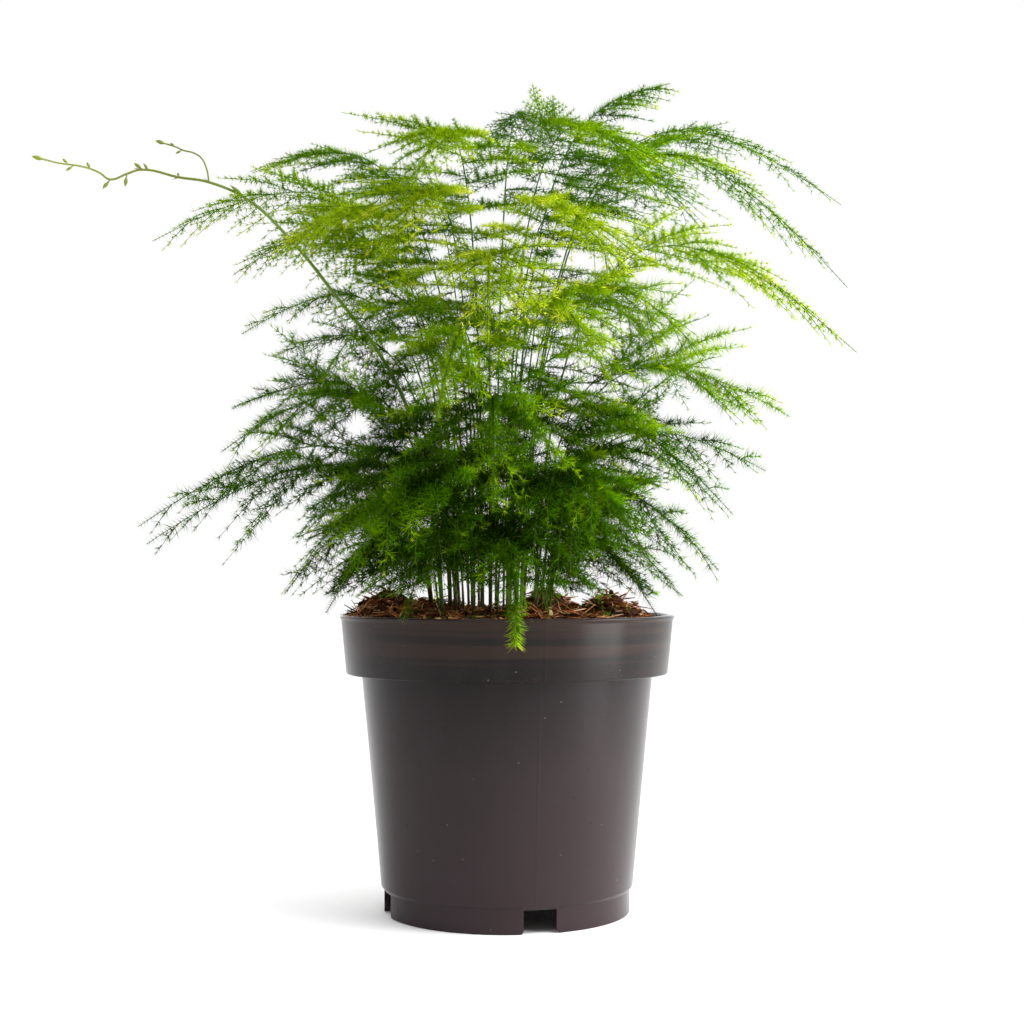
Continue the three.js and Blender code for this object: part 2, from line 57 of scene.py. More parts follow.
def linearColour(hexColour):
    colour = Color(int(hexColour[i:i + 2], 16) / 255 for i in (1, 3, 5))
    return (*colour.from_srgb_to_scene_linear(), 1)


def lerp(a, b, share):
    return a + (b - a) * share


# A link's source is a socket, or a node that stands for its first output
def addNode(tree, kind, settings=None, inputs=None, links=None):
    node = tree.nodes.new("ShaderNode" + kind)
    for name, value in (settings or {}).items():
        setattr(node, name, value)
    for name, value in (inputs or {}).items():
        node.inputs[name].default_value = value
    for name, source in (links or {}).items():
        socket = source.outputs[0] if isinstance(source, bpy.types.Node) else source
        tree.links.new(socket, node.inputs[name])
    return node


def newMaterial(name):
    material = bpy.data.materials.new(name)
    material.use_nodes = True
    return material, material.node_tree, material.node_tree.nodes["Principled BSDF"]


def setRamp(node, stops):
    ramp = node.color_ramp
    while len(ramp.elements) < len(stops):
        ramp.elements.new(0.5)
    for element, (position, colour) in zip(ramp.elements, stops):
        element.position = position
        element.color = linearColour(colour)


def setSmooth(mesh, smooth=True):
    mesh.polygons.foreach_set("use_smooth", [smooth] * len(mesh.polygons))


def setTones(mesh, tones):
    mesh.attributes.new("tone", "FLOAT", "POINT").data.foreach_set("value", tones)


def countTriangles(mesh):
    mesh.calc_loop_triangles()
    return len(mesh.loop_triangles)


def keepPiece(name, mesh, materials, nodes):
    mesh.name = name
    for material in materials:
        mesh.materials.append(material)
    mesh.transform(toPlace)
    piece = bpy.data.objects.new(name, mesh)
    bpy.context.scene.collection.objects.link(piece)
    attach(piece, "root")
    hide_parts(*nodes)
    return piece


def meshFrom(bm, smooth=True):
    mesh = bpy.data.meshes.new("work")
    bm.to_mesh(mesh)
    bm.free()
    setSmooth(mesh, smooth)
    return mesh


def addCopy(bm, shape, matrix):
    copy = shape.copy()
    copy.transform(matrix)
    bm.from_mesh(copy)
    bpy.data.meshes.remove(copy)


def addCone(bm, sides, footRadius, topRadius, length, capped=True):
    cone = bmesh.ops.create_cone(bm, cap_ends=capped, segments=sides, radius1=footRadius,
                                 radius2=topRadius, depth=length)
    return cone["verts"]


# A material whose colour follows each crumb's or tuft's tone, which for tufts holds painted shade low and
# deep in the clump, mottled by a noise. Where it is shaded, it adds each needle's painted shade at its root
# and a painted highlight towards its tip.
def tonedMaterial(name, stops, roughness, specular, mottling, depth, shaded=False, relief=None):
    material, tree, shader = newMaterial(name)
    place = addNode(tree, "TexCoord")
    tone = addNode(tree, "Attribute", {"attribute_name": "tone"})
    mottle = addNode(tree, "TexNoise", inputs=mottling, links={"Vector": place.outputs["Object"]})
    shift = addNode(tree, "Math", {"operation": "MULTIPLY_ADD"}, {1: depth, 2: -depth / 2},
                    {0: mottle.outputs["Fac"]})
    if shaded:
        shade = addNode(tree, "Attribute", {"attribute_name": "shade"})
        shift = addNode(tree, "Math", {"operation": "ADD"}, links={0: shade.outputs["Fac"], 1: shift})
    mixed = addNode(tree, "Math", {"operation": "ADD", "use_clamp": True},
                    links={0: tone.outputs["Fac"], 1: shift})
    ramp = addNode(tree, "ValToRGB", links={"Fac": mixed})
    setRamp(ramp, stops)
    tree.links.new(ramp.outputs["Color"], shader.inputs["Base Color"])
    if relief:
        bump = addNode(tree, "Bump", inputs=relief, links={"Height": mottle.outputs["Fac"]})
        tree.links.new(bump.outputs[0], shader.inputs["Normal"])
    shader.inputs["Roughness"].default_value = roughness
    shader.inputs["Specular IOR Level"].default_value = specular
    return material


# Tapering twigs, each a run of (point, radius), made as one bevelled curve and turned into a mesh
def twigMesh(runs, roundness=0, kind="POLY", fineness=1):
    curve = bpy.data.curves.new("twigs", "CURVE")
    curve.dimensions = "3D"
    curve.bevel_depth = 1
    curve.bevel_resolution = roundness
    curve.use_fill_caps = True
    curve.resolution_u = fineness
    for run in runs:
        spline = curve.splines.new(kind)
        spots = spline.points if kind == "POLY" else spline.bezier_points
        spots.add(len(run) - 1)
        for spot, (place, radius) in zip(spots, run):
            spot.co = (*place, 1) if kind == "POLY" else place
            spot.radius = radius
            if kind == "BEZIER":
                spot.handle_left_type = spot.handle_right_type = "AUTO"
    holder = bpy.data.objects.new("twigs", curve)
    mesh = bpy.data.meshes.new_from_object(holder)
    bpy.data.objects.remove(holder)
    bpy.data.curves.remove(curve)
    return mesh


# Extruding and spinning leave the faces in another order in every run, so they are put in the order in
# which they lie along a slanting line
def sortFaces(bm):
    slanting = Vector((1, 3.7, 11.3))
    bm.faces.sort(key=lambda face: face.calc_center_median().dot(slanting))


# A closed outline of (radius, height) corners, rounded a little, turned about the Z axis
def turnedShell(corners, rounding, steps):
    bm = bmesh.new()
    outline = bm.faces.new([bm.verts.new((radius, 0, height)) for radius, height in corners])
    if rounding:
        offAxis = [vert for vert in outline.verts if vert.co.x > 0]
        bmesh.ops.bevel(bm, geom=offAxis, offset=rounding, segments=3, profile=0.5, affect="VERTICES",
                        material=-1)
    bmesh.ops.delete(bm, geom=bm.faces[:], context="FACES_ONLY")
    onAxis = [edge for edge in bm.edges if max(vert.co.x for vert in edge.verts) < 1e-6]
    bmesh.ops.delete(bm, geom=onAxis, context="EDGES")
    bmesh.ops.spin(bm, geom=bm.verts[:] + bm.edges[:], cent=(0, 0, 0), axis=(0, 0, 1), angle=2 * math.pi,
                   steps=steps, use_merge=True)
    bmesh.ops.remove_doubles(bm, verts=bm.verts[:], dist=1e-4)
    bmesh.ops.recalc_face_normals(bm, faces=bm.faces[:])
    sortFaces(bm)
    return bm


def cutAway(mesh, cutterMesh):
    whole, cutter = bpy.data.objects.new("whole", mesh), bpy.data.objects.new("cutter", cutterMesh)
    for thing in (whole, cutter):
        bpy.context.scene.collection.objects.link(thing)
    cut = whole.modifiers.new("cut", "BOOLEAN")
    cut.object = cutter
    cut.solver = "EXACT"
    depsgraph = bpy.context.evaluated_depsgraph_get()
    result = bpy.data.meshes.new_from_object(whole.evaluated_get(depsgraph))
    for thing in (whole, cutter):
        bpy.data.objects.remove(thing)
    return result


# Camera and studio

studio = {
    "cameraPlace": (1.8, -610, 122),
    "tiltUp": 1.9,
    "lens": 59.45,
    "clipEnd": 50,  # metres
    "brightSide": 2.2,
    "darkSide": 0.3,
    "brightWay": (0.47, 0.88, 0),
    "brightFrom": 0.4,
    "floorSize": 6000,
    # each shines at the pot's axis, so high above the floor as its aim says
    "lamps": {
        "keyLamp": {"place": (320, -260, 820), "aim": 160, "size": 420, "power": 4.5},
        "frontLamp": {"place": (-180, -480, 800), "aim": 170, "size": 420, "power": 2.5},
        "rightPanel": {"place": (735, -150, 140), "aim": 120, "size": 500, "power": 6},
        # a small one close by brightens the right side of the pot
        "rightStrip": {"place": (232, -112, 70), "aim": 45, "size": 130, "power": 0.35},
    },
}


def addLamp(name, place, aim, size, power):
    light = bpy.data.lights.new(name, "AREA")
    light.size = size * mm
    light.energy = power
    lamp = bpy.data.objects.new(name, light)
    lamp.location = toPlace @ Vector(place)
    lamp.rotation_euler = (Vector((0, 0, aim)) - Vector(place)).to_track_quat("-Z", "Y").to_euler()
    lamp.visible_camera = False  # some stand in the picture when the plant is seen from another side
    bpy.context.scene.collection.objects.link(lamp)


def buildStudio():
    scene = bpy.context.scene
    scene.view_settings.view_transform = "Standard"  # keeps the greens as bright as in daylight

    cameraData = bpy.data.cameras.new("camera")
    cameraData.lens = studio["lens"]
    cameraData.clip_end = studio["clipEnd"]
    camera = bpy.data.objects.new("camera", cameraData)
    camera.location = toPlace @ Vector(studio["cameraPlace"])
    camera.rotation_euler = (math.radians(90 + studio["tiltUp"]), 0, 0)
    scene.collection.objects.link(camera)
    scene.camera = camera

    # the room is bright behind the plant and to its right, and dark behind the camera
    world = bpy.data.worlds.new("whiteStudio")
    world.use_nodes = True
    tree = world.node_tree
    room, end = tree.nodes["Background"], tree.nodes["World Output"]
    room.inputs["Color"].default_value = (1, 1, 1, 1)
    way = addNode(tree, "TexCoord")
    facingBright = addNode(tree, "VectorMath", {"operation": "DOT_PRODUCT"},
                           {1: studio["brightWay"]}, {0: way.outputs["Generated"]})
    strength = addNode(tree, "MapRange",
                       inputs={"From Max": studio["brightFrom"], "To Min": studio["darkSide"],
                               "To Max": studio["brightSide"]},
                       links={"Value": facingBright.outputs["Value"]})
    tree.links.new(strength.outputs[0], room.inputs["Strength"])
    backdrop = addNode(tree, "Background", inputs={"Color": (1, 1, 1, 1)})
    ray = addNode(tree, "LightPath")
    seen = addNode(tree, "MixShader", links={0: ray.outputs["Is Camera Ray"], 1: room, 2: backdrop})
    tree.links.new(seen.outputs[0], end.inputs["Surface"])
    scene.world = world

    bm = bmesh.new()
    bmesh.ops.create_grid(bm, x_segments=1, y_segments=1, size=studio["floorSize"] / 2)
    mesh = meshFrom(bm, smooth=False)
    mesh.transform(toPlace)
    floor = bpy.data.objects.new("floor", mesh)
    scene.collection.objects.link(floor)
    paper, tree, shader = newMaterial("whitePaper")
    shader.inputs["Base Color"].default_value = linearColour("#ffffff")
    shader.inputs["Roughness"].default_value = 0.9
    shader.inputs["Specular IOR Level"].default_value = 0.1
    mesh.materials.append(paper)

    for name, lamp in studio["lamps"].items():
        addLamp(name, **lamp)
    print("studio: camera, floor and lamps")


# Pot

pot = {
    "height": 105.5,
    "rimRadius": 60,
    "collarHeight": 21,
    "collarFootRadius": 57.5,
    "wallTopRadius": 52,
    "wallFootRadius": 44.9,
    "footRadius": 43.8,
    "footHeight": 8.4,
    "thickness": 1.7,
    "lip": 0.5,
    "rounding": 0.45,
    "steps": 144,
    "waviness": 0.18,
    "sharpFrom": 38,  # degrees between two faces
}

notch = {
    "count": 4,
    "firstBearing": -75,
    "width": 11.5,
    "height": 8.1,
    "corner": 1.5,
    "depth": 9,
    "drainRadius": 4.5,
    "drainSteps": 24,
    "drainFromAxis": 35,
}


# The space of one notch in the foot ring, flared where it meets the ground, on the +X side
def addNotchCutter(bm, bearing):
    half, corner, depth = notch["width"] / 2, notch["corner"], notch["depth"]
    sides = [(half + corner, -2), (half + corner, 0), (half, 0), (half, notch["height"])]
    corners = [(-across, high) for across, high in sides] + list(reversed(sides))
    cutter = bmesh.new()
    face = cutter.faces.new([cutter.verts.new((0, across, high)) for across, high in corners])
    flares = [vert for vert in face.verts if abs(vert.co.y) == half and vert.co.z == 0]
    bmesh.ops.bevel(cutter, geom=flares, offset=corner, segments=4, profile=0.5, affect="VERTICES",
                    material=-1)
    bmesh.ops.remove_doubles(cutter, verts=cutter.verts[:], dist=1e-4)
    pulled = bmesh.ops.extrude_face_region(cutter, geom=cutter.faces[:])
    ends = [part for part in pulled["geom"] if isinstance(part, bmesh.types.BMVert)]
    bmesh.ops.translate(cutter, vec=(depth, 0, 0), verts=ends)
    bmesh.ops.recalc_face_normals(cutter, faces=cutter.faces[:])
    sortFaces(cutter)
    turn = Matrix.Rotation(math.radians(bearing), 4, "Z")
    shape = meshFrom(cutter, smooth=False)
    addCopy(bm, shape, turn @ Matrix.Translation((pot["footRadius"] - depth / 2, 0, 0)))
    bpy.data.meshes.remove(shape)


def buildPot():
    thick, lip, height, rim = pot["thickness"], pot["lip"], pot["height"], pot["rimRadius"]
    collar, wallTop, wallFoot = pot["collarFootRadius"], pot["wallTopRadius"], pot["wallFootRadius"]
    foot, floor = pot["footRadius"], pot["footHeight"]
    collarFoot = height - pot["collarHeight"]
    shell = turnedShell([
        (0, floor), (foot - thick, floor), (foot - thick, 0), (foot, 0), (foot, floor),
        (wallFoot, floor + 1), (wallTop, collarFoot), (collar, collarFoot),
        (rim - lip, height - 3 * lip), (rim, height - 2 * lip), (rim, height), (rim - thick, height),
        (collar - thick, collarFoot + thick), (wallTop - thick, collarFoot + thick),
        (wallFoot - thick, floor + thick), (0, floor + thick),
    ], pot["rounding"], pot["steps"])
    # a thin moulded rim is never quite round or level
    for vert in shell.verts:
        soft = max(0, (vert.co.z - collarFoot) / pot["collarHeight"])
        bearing = math.atan2(vert.co.y, vert.co.x)
        wave = pot["waviness"] * soft * math.sin(3 * bearing + 0.7) * math.cos(5 * bearing)
        vert.co.x *= 1 - abs(wave) / rim
        vert.co.z += -abs(wave) if soft > 0.5 else 0
    mesh = meshFrom(shell)

    cutters = bmesh.new()
    for i in range(notch["count"]):
        bearing = notch["firstBearing"] + 360 * i / notch["count"]
        addNotchCutter(cutters, bearing)
        drain = addCone(cutters, notch["drainSteps"], notch["drainRadius"], notch["drainRadius"], 4 * thick)
        turn = Matrix.Rotation(math.radians(bearing), 4, "Z")
        place = turn @ Matrix.Translation((notch["drainFromAxis"], 0, floor))
        bmesh.ops.transform(cutters, matrix=place, verts=drain)
    mesh = cutAway(mesh, meshFrom(cutters, smooth=False))
    setSmooth(mesh)
    mesh.set_sharp_from_angle(angle=math.radians(pot["sharpFrom"]))
    keepPiece("nursery_pot", mesh, [potMaterial()], ["pot"])
    print(f"pot: {len(mesh.polygons)} faces")


potFinish = {
    # body colours by height, with painted shade darkest at 0.76 to 0.8 of the height, where the wall meets
    # the collar
    "body": [(0, "#32272a"), (0.5, "#282021"), (0.76, "#161011"), (0.8, "#0a0605"), (1, "#0f0a09")],
    "band": "#24170f",
    "bandScale": (6, 6, 380),  # bands about 3 mm apart
    "bandEdge": {"From Min": 0.42, "From Max": 0.6},
    "onCollar": {"From Min": 0.084, "From Max": 0.089, "To Min": 0.03},  # where the collar starts, in metres
    "haze": "#332a2d",
    "hazeScale": (34, 34, 9),  # patches 30 mm wide and 110 mm high
    "hazeEdge": {"From Min": 0.4, "From Max": 0.8, "To Max": 0.35},
    "speck": [(0.45, "#17100c"), (0.55, "#4c4038")],
    "speckScale": 210,
    "speckRadius": 0.065,
    "speckFrom": 0.6,
    "gloss": {"To Min": 0.16, "To Max": 0.3},
    "specular": 0.15,
    "ior": 1.49,
    "lineTurn": -12.5,  # degrees from the front
    "line": {"From Max": 0.0007, "To Min": 1, "To Max": 0},
    "lineHeight": 0.9,
    "grain": {"Scale": 1400, "Detail": 2},  # 0.7 mm, coarser than the mould's own, to show
    "grainHeight": 0.12,
    "relief": {"Strength": 0.35, "Distance": 0.0002},
}


# Pot: injection-moulded polypropylene, a satin taupe brown with browner flow bands round the collar,
# a parting line down two sides, and specks of dry peat and lime
def potMaterial():
    material, tree, shader = newMaterial("mouldedPolypropylene")
    place = addNode(tree, "TexCoord")
    centred = addNode(tree, "Mapping", inputs={"Location": -potAxis},
                      links={"Vector": place.outputs["Object"]})
    split = addNode(tree, "SeparateXYZ", links={0: centred})

    flowPlace = addNode(tree, "Mapping", inputs={"Scale": potFinish["bandScale"]}, links={"Vector": centred})
    flow = addNode(tree, "TexNoise", inputs={"Scale": 1, "Detail": 3}, links={"Vector": flowPlace})
    flowBand = addNode(tree, "MapRange", inputs=potFinish["bandEdge"], links={"Value": flow.outputs["Fac"]})
    onCollar = addNode(tree, "MapRange", inputs=potFinish["onCollar"], links={"Value": split.outputs["Z"]})
    bands = addNode(tree, "Math", {"operation": "MULTIPLY"}, links={0: flowBand, 1: onCollar})
    # painted shade: the body colour is darkest where the wall meets the collar, under its overhang, and paler
    # down the wall towards the foot; the collar stays dark
    height = addNode(tree, "MapRange", inputs={"From Max": pot["height"] * mm},
                     links={"Value": split.outputs["Z"]})
    bodyWithPaintedShade = addNode(tree, "ValToRGB", links={"Fac": height})
    setRamp(bodyWithPaintedShade, potFinish["body"])
    body = addNode(tree, "Mix", {"data_type": "RGBA"}, {"B": linearColour(potFinish["band"])},
                   {"Factor": bands, "A": bodyWithPaintedShade.outputs["Color"]})

    # dried water has left a paler haze
    hazePlace = addNode(tree, "Mapping", inputs={"Scale": potFinish["hazeScale"]}, links={"Vector": centred})
    haze = addNode(tree, "TexNoise", inputs={"Scale": 1, "Detail": 5, "Roughness": 0.6},
                   links={"Vector": hazePlace})
    hazy = addNode(tree, "MapRange", inputs=potFinish["hazeEdge"], links={"Value": haze.outputs["Fac"]})
    dusted = addNode(tree, "Mix", {"data_type": "RGBA"}, {"B": linearColour(potFinish["haze"])},
                     {"Factor": hazy, "A": body.outputs["Result"]})

    # specks of up to 0.6 mm, one to about every 20 mm
    specks = addNode(tree, "TexVoronoi", inputs={"Scale": potFinish["speckScale"]}, links={"Vector": centred})
    small = addNode(tree, "Math", {"operation": "LESS_THAN"}, {1: potFinish["speckRadius"]},
                    {0: specks.outputs["Distance"]})
    kind = addNode(tree, "SeparateColor", links={0: specks.outputs["Color"]})
    rare = addNode(tree, "Math", {"operation": "GREATER_THAN"}, {1: potFinish["speckFrom"]}, {0: kind})
    speck = addNode(tree, "Math", {"operation": "MULTIPLY"}, links={0: small, 1: rare})
    speckColour = addNode(tree, "ValToRGB", links={"Fac": kind.outputs[1]})
    setRamp(speckColour, potFinish["speck"])
    coloured = addNode(tree, "Mix", {"data_type": "RGBA"},
                       links={"Factor": speck, "A": dusted.outputs["Result"],
                              "B": speckColour.outputs["Color"]})
    tree.links.new(coloured.outputs["Result"], shader.inputs["Base Color"])
    gloss = addNode(tree, "MapRange", inputs=potFinish["gloss"], links={"Value": haze.outputs["Fac"]})
    tree.links.new(gloss.outputs[0], shader.inputs["Roughness"])

    # the parting line lies in a plane through the axis, turned a little from the front
    turned = addNode(tree, "Mapping", inputs={"Rotation": (0, 0, math.radians(potFinish["lineTurn"]))},
                     links={"Vector": centred})
    across = addNode(tree, "SeparateXYZ", links={0: turned})
    offLine = addNode(tree, "Math", {"operation": "ABSOLUTE"}, links={0: across.outputs["X"]})
    ridge = addNode(tree, "MapRange", inputs=potFinish["line"], links={"Value": offLine})
    grain = addNode(tree, "TexNoise", inputs=potFinish["grain"], links={"Vector": centred})
    finePart = addNode(tree, "Math", {"operation": "MULTIPLY"}, {1: potFinish["grainHeight"]},
                       {0: grain.outputs["Fac"]})
    relief = addNode(tree, "Math", {"operation": "MULTIPLY_ADD"}, {1: potFinish["lineHeight"]},
                     {0: ridge, 2: finePart})
    bump = addNode(tree, "Bump", inputs=potFinish["relief"], links={"Height": relief})
    tree.links.new(bump.outputs[0], shader.inputs["Normal"])
    shader.inputs["Specular IOR Level"].default_value = potFinish["specular"]
    shader.inputs["IOR"].default_value = potFinish["ior"]
    return material


# Soil

soil = {
    "seed": 5,
    "level": 103.6,
    "gap": 0.3,
    "edge": 58,
    "rings": 44,
    "steps": 150,
    "ripple": 0.7,
    "lumps": 1.4,
    "crumbs": 700,
    "fibres": 1100,
    "chips": 300,
    "rimFibres": 130,
    "rimCrumbs": 90,
    "mossTufts": 110,
    "crumbShapes": 10,
    "fibreShapes": 24,
    "chipShapes": 8,
    "mossShapes": 5,
    "fibreLength": (4, 13),
    "leastFibres": 0.25,  # on the flat, as a share of what a heap gets
    "fullHeap": 5,
    "mounds": [(-44, -6, 9, 13), (-30, 26, 6, 12), (15, 27, 10, 9), (38, 7, 9, 10), (-6, 0, 3, 24),
               (20, -34, 2.5, 12)],  # x, y, rise, spread
    "spill": {"from": -38, "centre": -8, "halfWidth": 26},
    "mossPlaces": [(-34, -30), (14, 22), (31, -2), (-14, -34), (26, 18)],
    "mossSpread": 60,
}


def soilTop(x, y):
    inward = 1 - min(1, math.hypot(x, y) / soil["edge"]) ** 8
    rise = soil["ripple"] * math.sin(x * 0.41 + 1.3) * math.sin(y * 0.37 + 0.4)
    for moundX, moundY, high, spread in soil["mounds"]:
        rise += high * math.exp(-((x - moundX) ** 2 + (y - moundY) ** 2) / spread ** 2)
    return soil["level"] + rise * inward


# The crumbly surface itself
def soilSurface(x, y):
    inward = 1 - min(1, math.hypot(x, y) / soil["edge"]) ** 8
    lump = noise.noise(Vector((x, y, 0)) * 0.22) + 0.5 * noise.noise(Vector((x, y, 7)) * 0.6)
    return soilTop(x, y) + soil["lumps"] * lump * inward


def crumbShape(draw):
    bm = bmesh.new()
    bmesh.ops.create_icosphere(bm, subdivisions=1, radius=1)
    for vert in bm.verts:
        vert.co *= draw.uniform(0.7, 1.25)
    bmesh.ops.scale(bm, vec=(1, draw.uniform(0.6, 1), draw.uniform(0.5, 0.8)), verts=bm.verts[:])
    return meshFrom(bm, smooth=False)


def fibreShape(draw, length):
    bend, twist = draw.uniform(-0.35, 0.35), draw.uniform(-0.3, 0.3)
    thick = draw.uniform(0.14, 0.36)
    run = [((length * (part - 0.5), bend * length * part * part, twist * length * part * (1 - part)),
            thick * lerp(1, 0.5, abs(2 * part - 1))) for part in (0, 0.33, 0.67, 1)]
    mesh = twigMesh([run])
    setSmooth(mesh)
    return mesh


def chipShape(draw):
    bm = bmesh.new()
    bmesh.ops.create_cube(bm, size=1)
    for vert in bm.verts:
        vert.co.y *= draw.uniform(0.4, 1.2)
    size = (draw.uniform(3, 6), draw.uniform(1, 2), draw.uniform(0.3, 0.7))
    bmesh.ops.scale(bm, vec=size, verts=bm.verts[:])
    return meshFrom(bm, smooth=False)


def mossShape(draw):
    bm = bmesh.new()
    for _ in range(12):
        leaf = addCone(bm, 3, draw.uniform(0.25, 0.4), 0, draw.uniform(1.2, 2.4))
        back = Matrix.Rotation(draw.uniform(-0.7, 0.7), 4, "X")
        aside = Matrix.Rotation(draw.uniform(-0.7, 0.7), 4, "Y")
        root = Matrix.Translation((draw.uniform(-1.4, 1.4), draw.uniform(-1.4, 1.4), 0.4))
        bmesh.ops.transform(bm, matrix=root @ back @ aside, verts=leaf)
    return meshFrom(bm, smooth=False)


def buildSoil():
    draw = random.Random(soil["seed"])
    inner = pot["thickness"] + soil["gap"]
    ledge = pot["height"] - pot["collarHeight"] + inner
    edge = soil["edge"]
    top = [(edge * (1 - i / soil["rings"]), soil["level"]) for i in range(soil["rings"] + 1)]
    bed = turnedShell([
        (0, pot["footHeight"] + pot["thickness"]),
        (pot["wallFootRadius"] - inner, pot["footHeight"] + pot["thickness"]),
        (pot["wallTopRadius"] - inner, ledge), (pot["collarFootRadius"] - inner, ledge), *top,
    ], 0, soil["steps"])
    for vert in bed.verts:
        if vert.co.z > soil["level"] - 1:
            vert.co.z = soilSurface(vert.co.x, vert.co.y)
    bedTone = [0.5] * len(bed.verts)
    kinds = [(0, len(bed.faces))]  # material and number of faces of each thing in the bed

    crumbs = [crumbShape(draw) for _ in range(soil["crumbShapes"])]
    fibres = [fibreShape(draw, draw.uniform(*soil["fibreLength"])) for _ in range(soil["fibreShapes"])]
    chips = [chipShape(draw) for _ in range(soil["chipShapes"])]
    mosses = [mossShape(draw) for _ in range(soil["mossShapes"])]
    peat, wood, moss = range(3)  # places of the three materials

    def spot(outermost):
        radius, bearing = outermost * math.sqrt(draw.random()), draw.uniform(0, 2 * math.pi)
        return radius * math.cos(bearing), radius * math.sin(bearing)

    def lay(shapes, count, slot, outermost, lift, size, steepest=0, mask=None):
        laid = 0
        while laid < count:
            x, y = spot(outermost)
            if mask and draw.random() > mask(x, y):
                continue
            laid += 1
            pitch = math.radians(steepest) * draw.uniform(-0.3, 1) * draw.random()
            turn = Matrix.Rotation(draw.uniform(0, 2 * math.pi), 4, "Z") @ Matrix.Rotation(-pitch, 4, "Y")
            shape = draw.choice(shapes)
            place = Matrix.Translation((x, y, soilSurface(x, y) + lift + abs(math.sin(pitch)) * 2))
            addCopy(bed, shape, place @ turn @ Matrix.Scale(draw.uniform(*size), 4))
            bedTone.extend([draw.random()] * len(shape.vertices))
            kinds.append((slot, len(shape.polygons)))

    def heaped(x, y):
        return min(1, soil["leastFibres"] + max(0, soilTop(x, y) - soil["level"]) / soil["fullHeap"])

    # a loose heap spills on to the rim at the left
    def overRim(x, y):
        spill = soil["spill"]
        return 1 if x < spill["from"] and abs(y - spill["centre"]) < spill["halfWidth"] else 0

    def mossy(x, y):
        return max(math.exp(-((x - mossX) ** 2 + (y - mossY) ** 2) / soil["mossSpread"])
                   for mossX, mossY in soil["mossPlaces"])

    lay(crumbs, soil["crumbs"], peat, outermost=56, lift=0.2, size=(0.6, 2))
    lay(fibres, soil["fibres"], wood, outermost=51, lift=0.5, size=(0.8, 1.1), steepest=55, mask=heaped)
    lay(chips, soil["chips"], wood, outermost=53, lift=0.5, size=(0.5, 1), steepest=50, mask=heaped)
    lay(crumbs, soil["rimCrumbs"], peat, outermost=57.5, lift=1.2, size=(0.8, 2.2), mask=overRim)
    lay(fibres, soil["rimFibres"], wood, outermost=57.5, lift=1.5, size=(0.6, 1), steepest=80, mask=overRim)
    lay(mosses, soil["mossTufts"], moss, outermost=54, lift=0.2, size=(0.8, 1.3), mask=mossy)

    mesh = meshFrom(bed)
    slots = [slot for slot, faces in kinds for _ in range(faces)]
    mesh.polygons.foreach_set("material_index", slots)
    setTones(mesh, bedTone)
    smooth = [i < kinds[0][1] for i in range(len(mesh.polygons))]
    mesh.polygons.foreach_set("use_smooth", smooth)
    keepPiece("peat_bed", mesh, [peatMaterial(), fibreMaterial(), mossMaterial()], ["soil"])
    print(f"soil: {countTriangles(mesh)} triangles")


soilFinish = {
    "mottling": {"Scale": 420, "Detail": 4, "Roughness": 0.7},  # every 2 or 3 mm
    "depth": 0.9,
    "specular": 0.15,
    "relief": {"Strength": 0.8, "Distance": 0.0006},
}


# Peat: dark, damp and crumbly, so it hardly shines
def peatMaterial():
    stops = [(0, "#160c07"), (0.4, "#362013"), (0.75, "#5c3620"), (1, "#8a5835")]
    return tonedMaterial("dampPeat", stops, roughness=0.95, **soilFinish)


# Wood fibre and bark: loose and dry, from red-brown to straw
def fibreMaterial():
    stops = [(0, "#4e260f"), (0.35, "#8e4d24"), (0.7, "#c08048"), (1, "#f0d2a0")]
    return tonedMaterial("woodFibre", stops, roughness=0.8, **soilFinish)


# Moss: live and soft, settled on the heaps
def mossMaterial():
    stops = [(0, "#33420f"), (0.5, "#5a7418"), (1, "#94a838")]
    return tonedMaterial("moss", stops, roughness=0.85, **soilFinish)


# Foliage

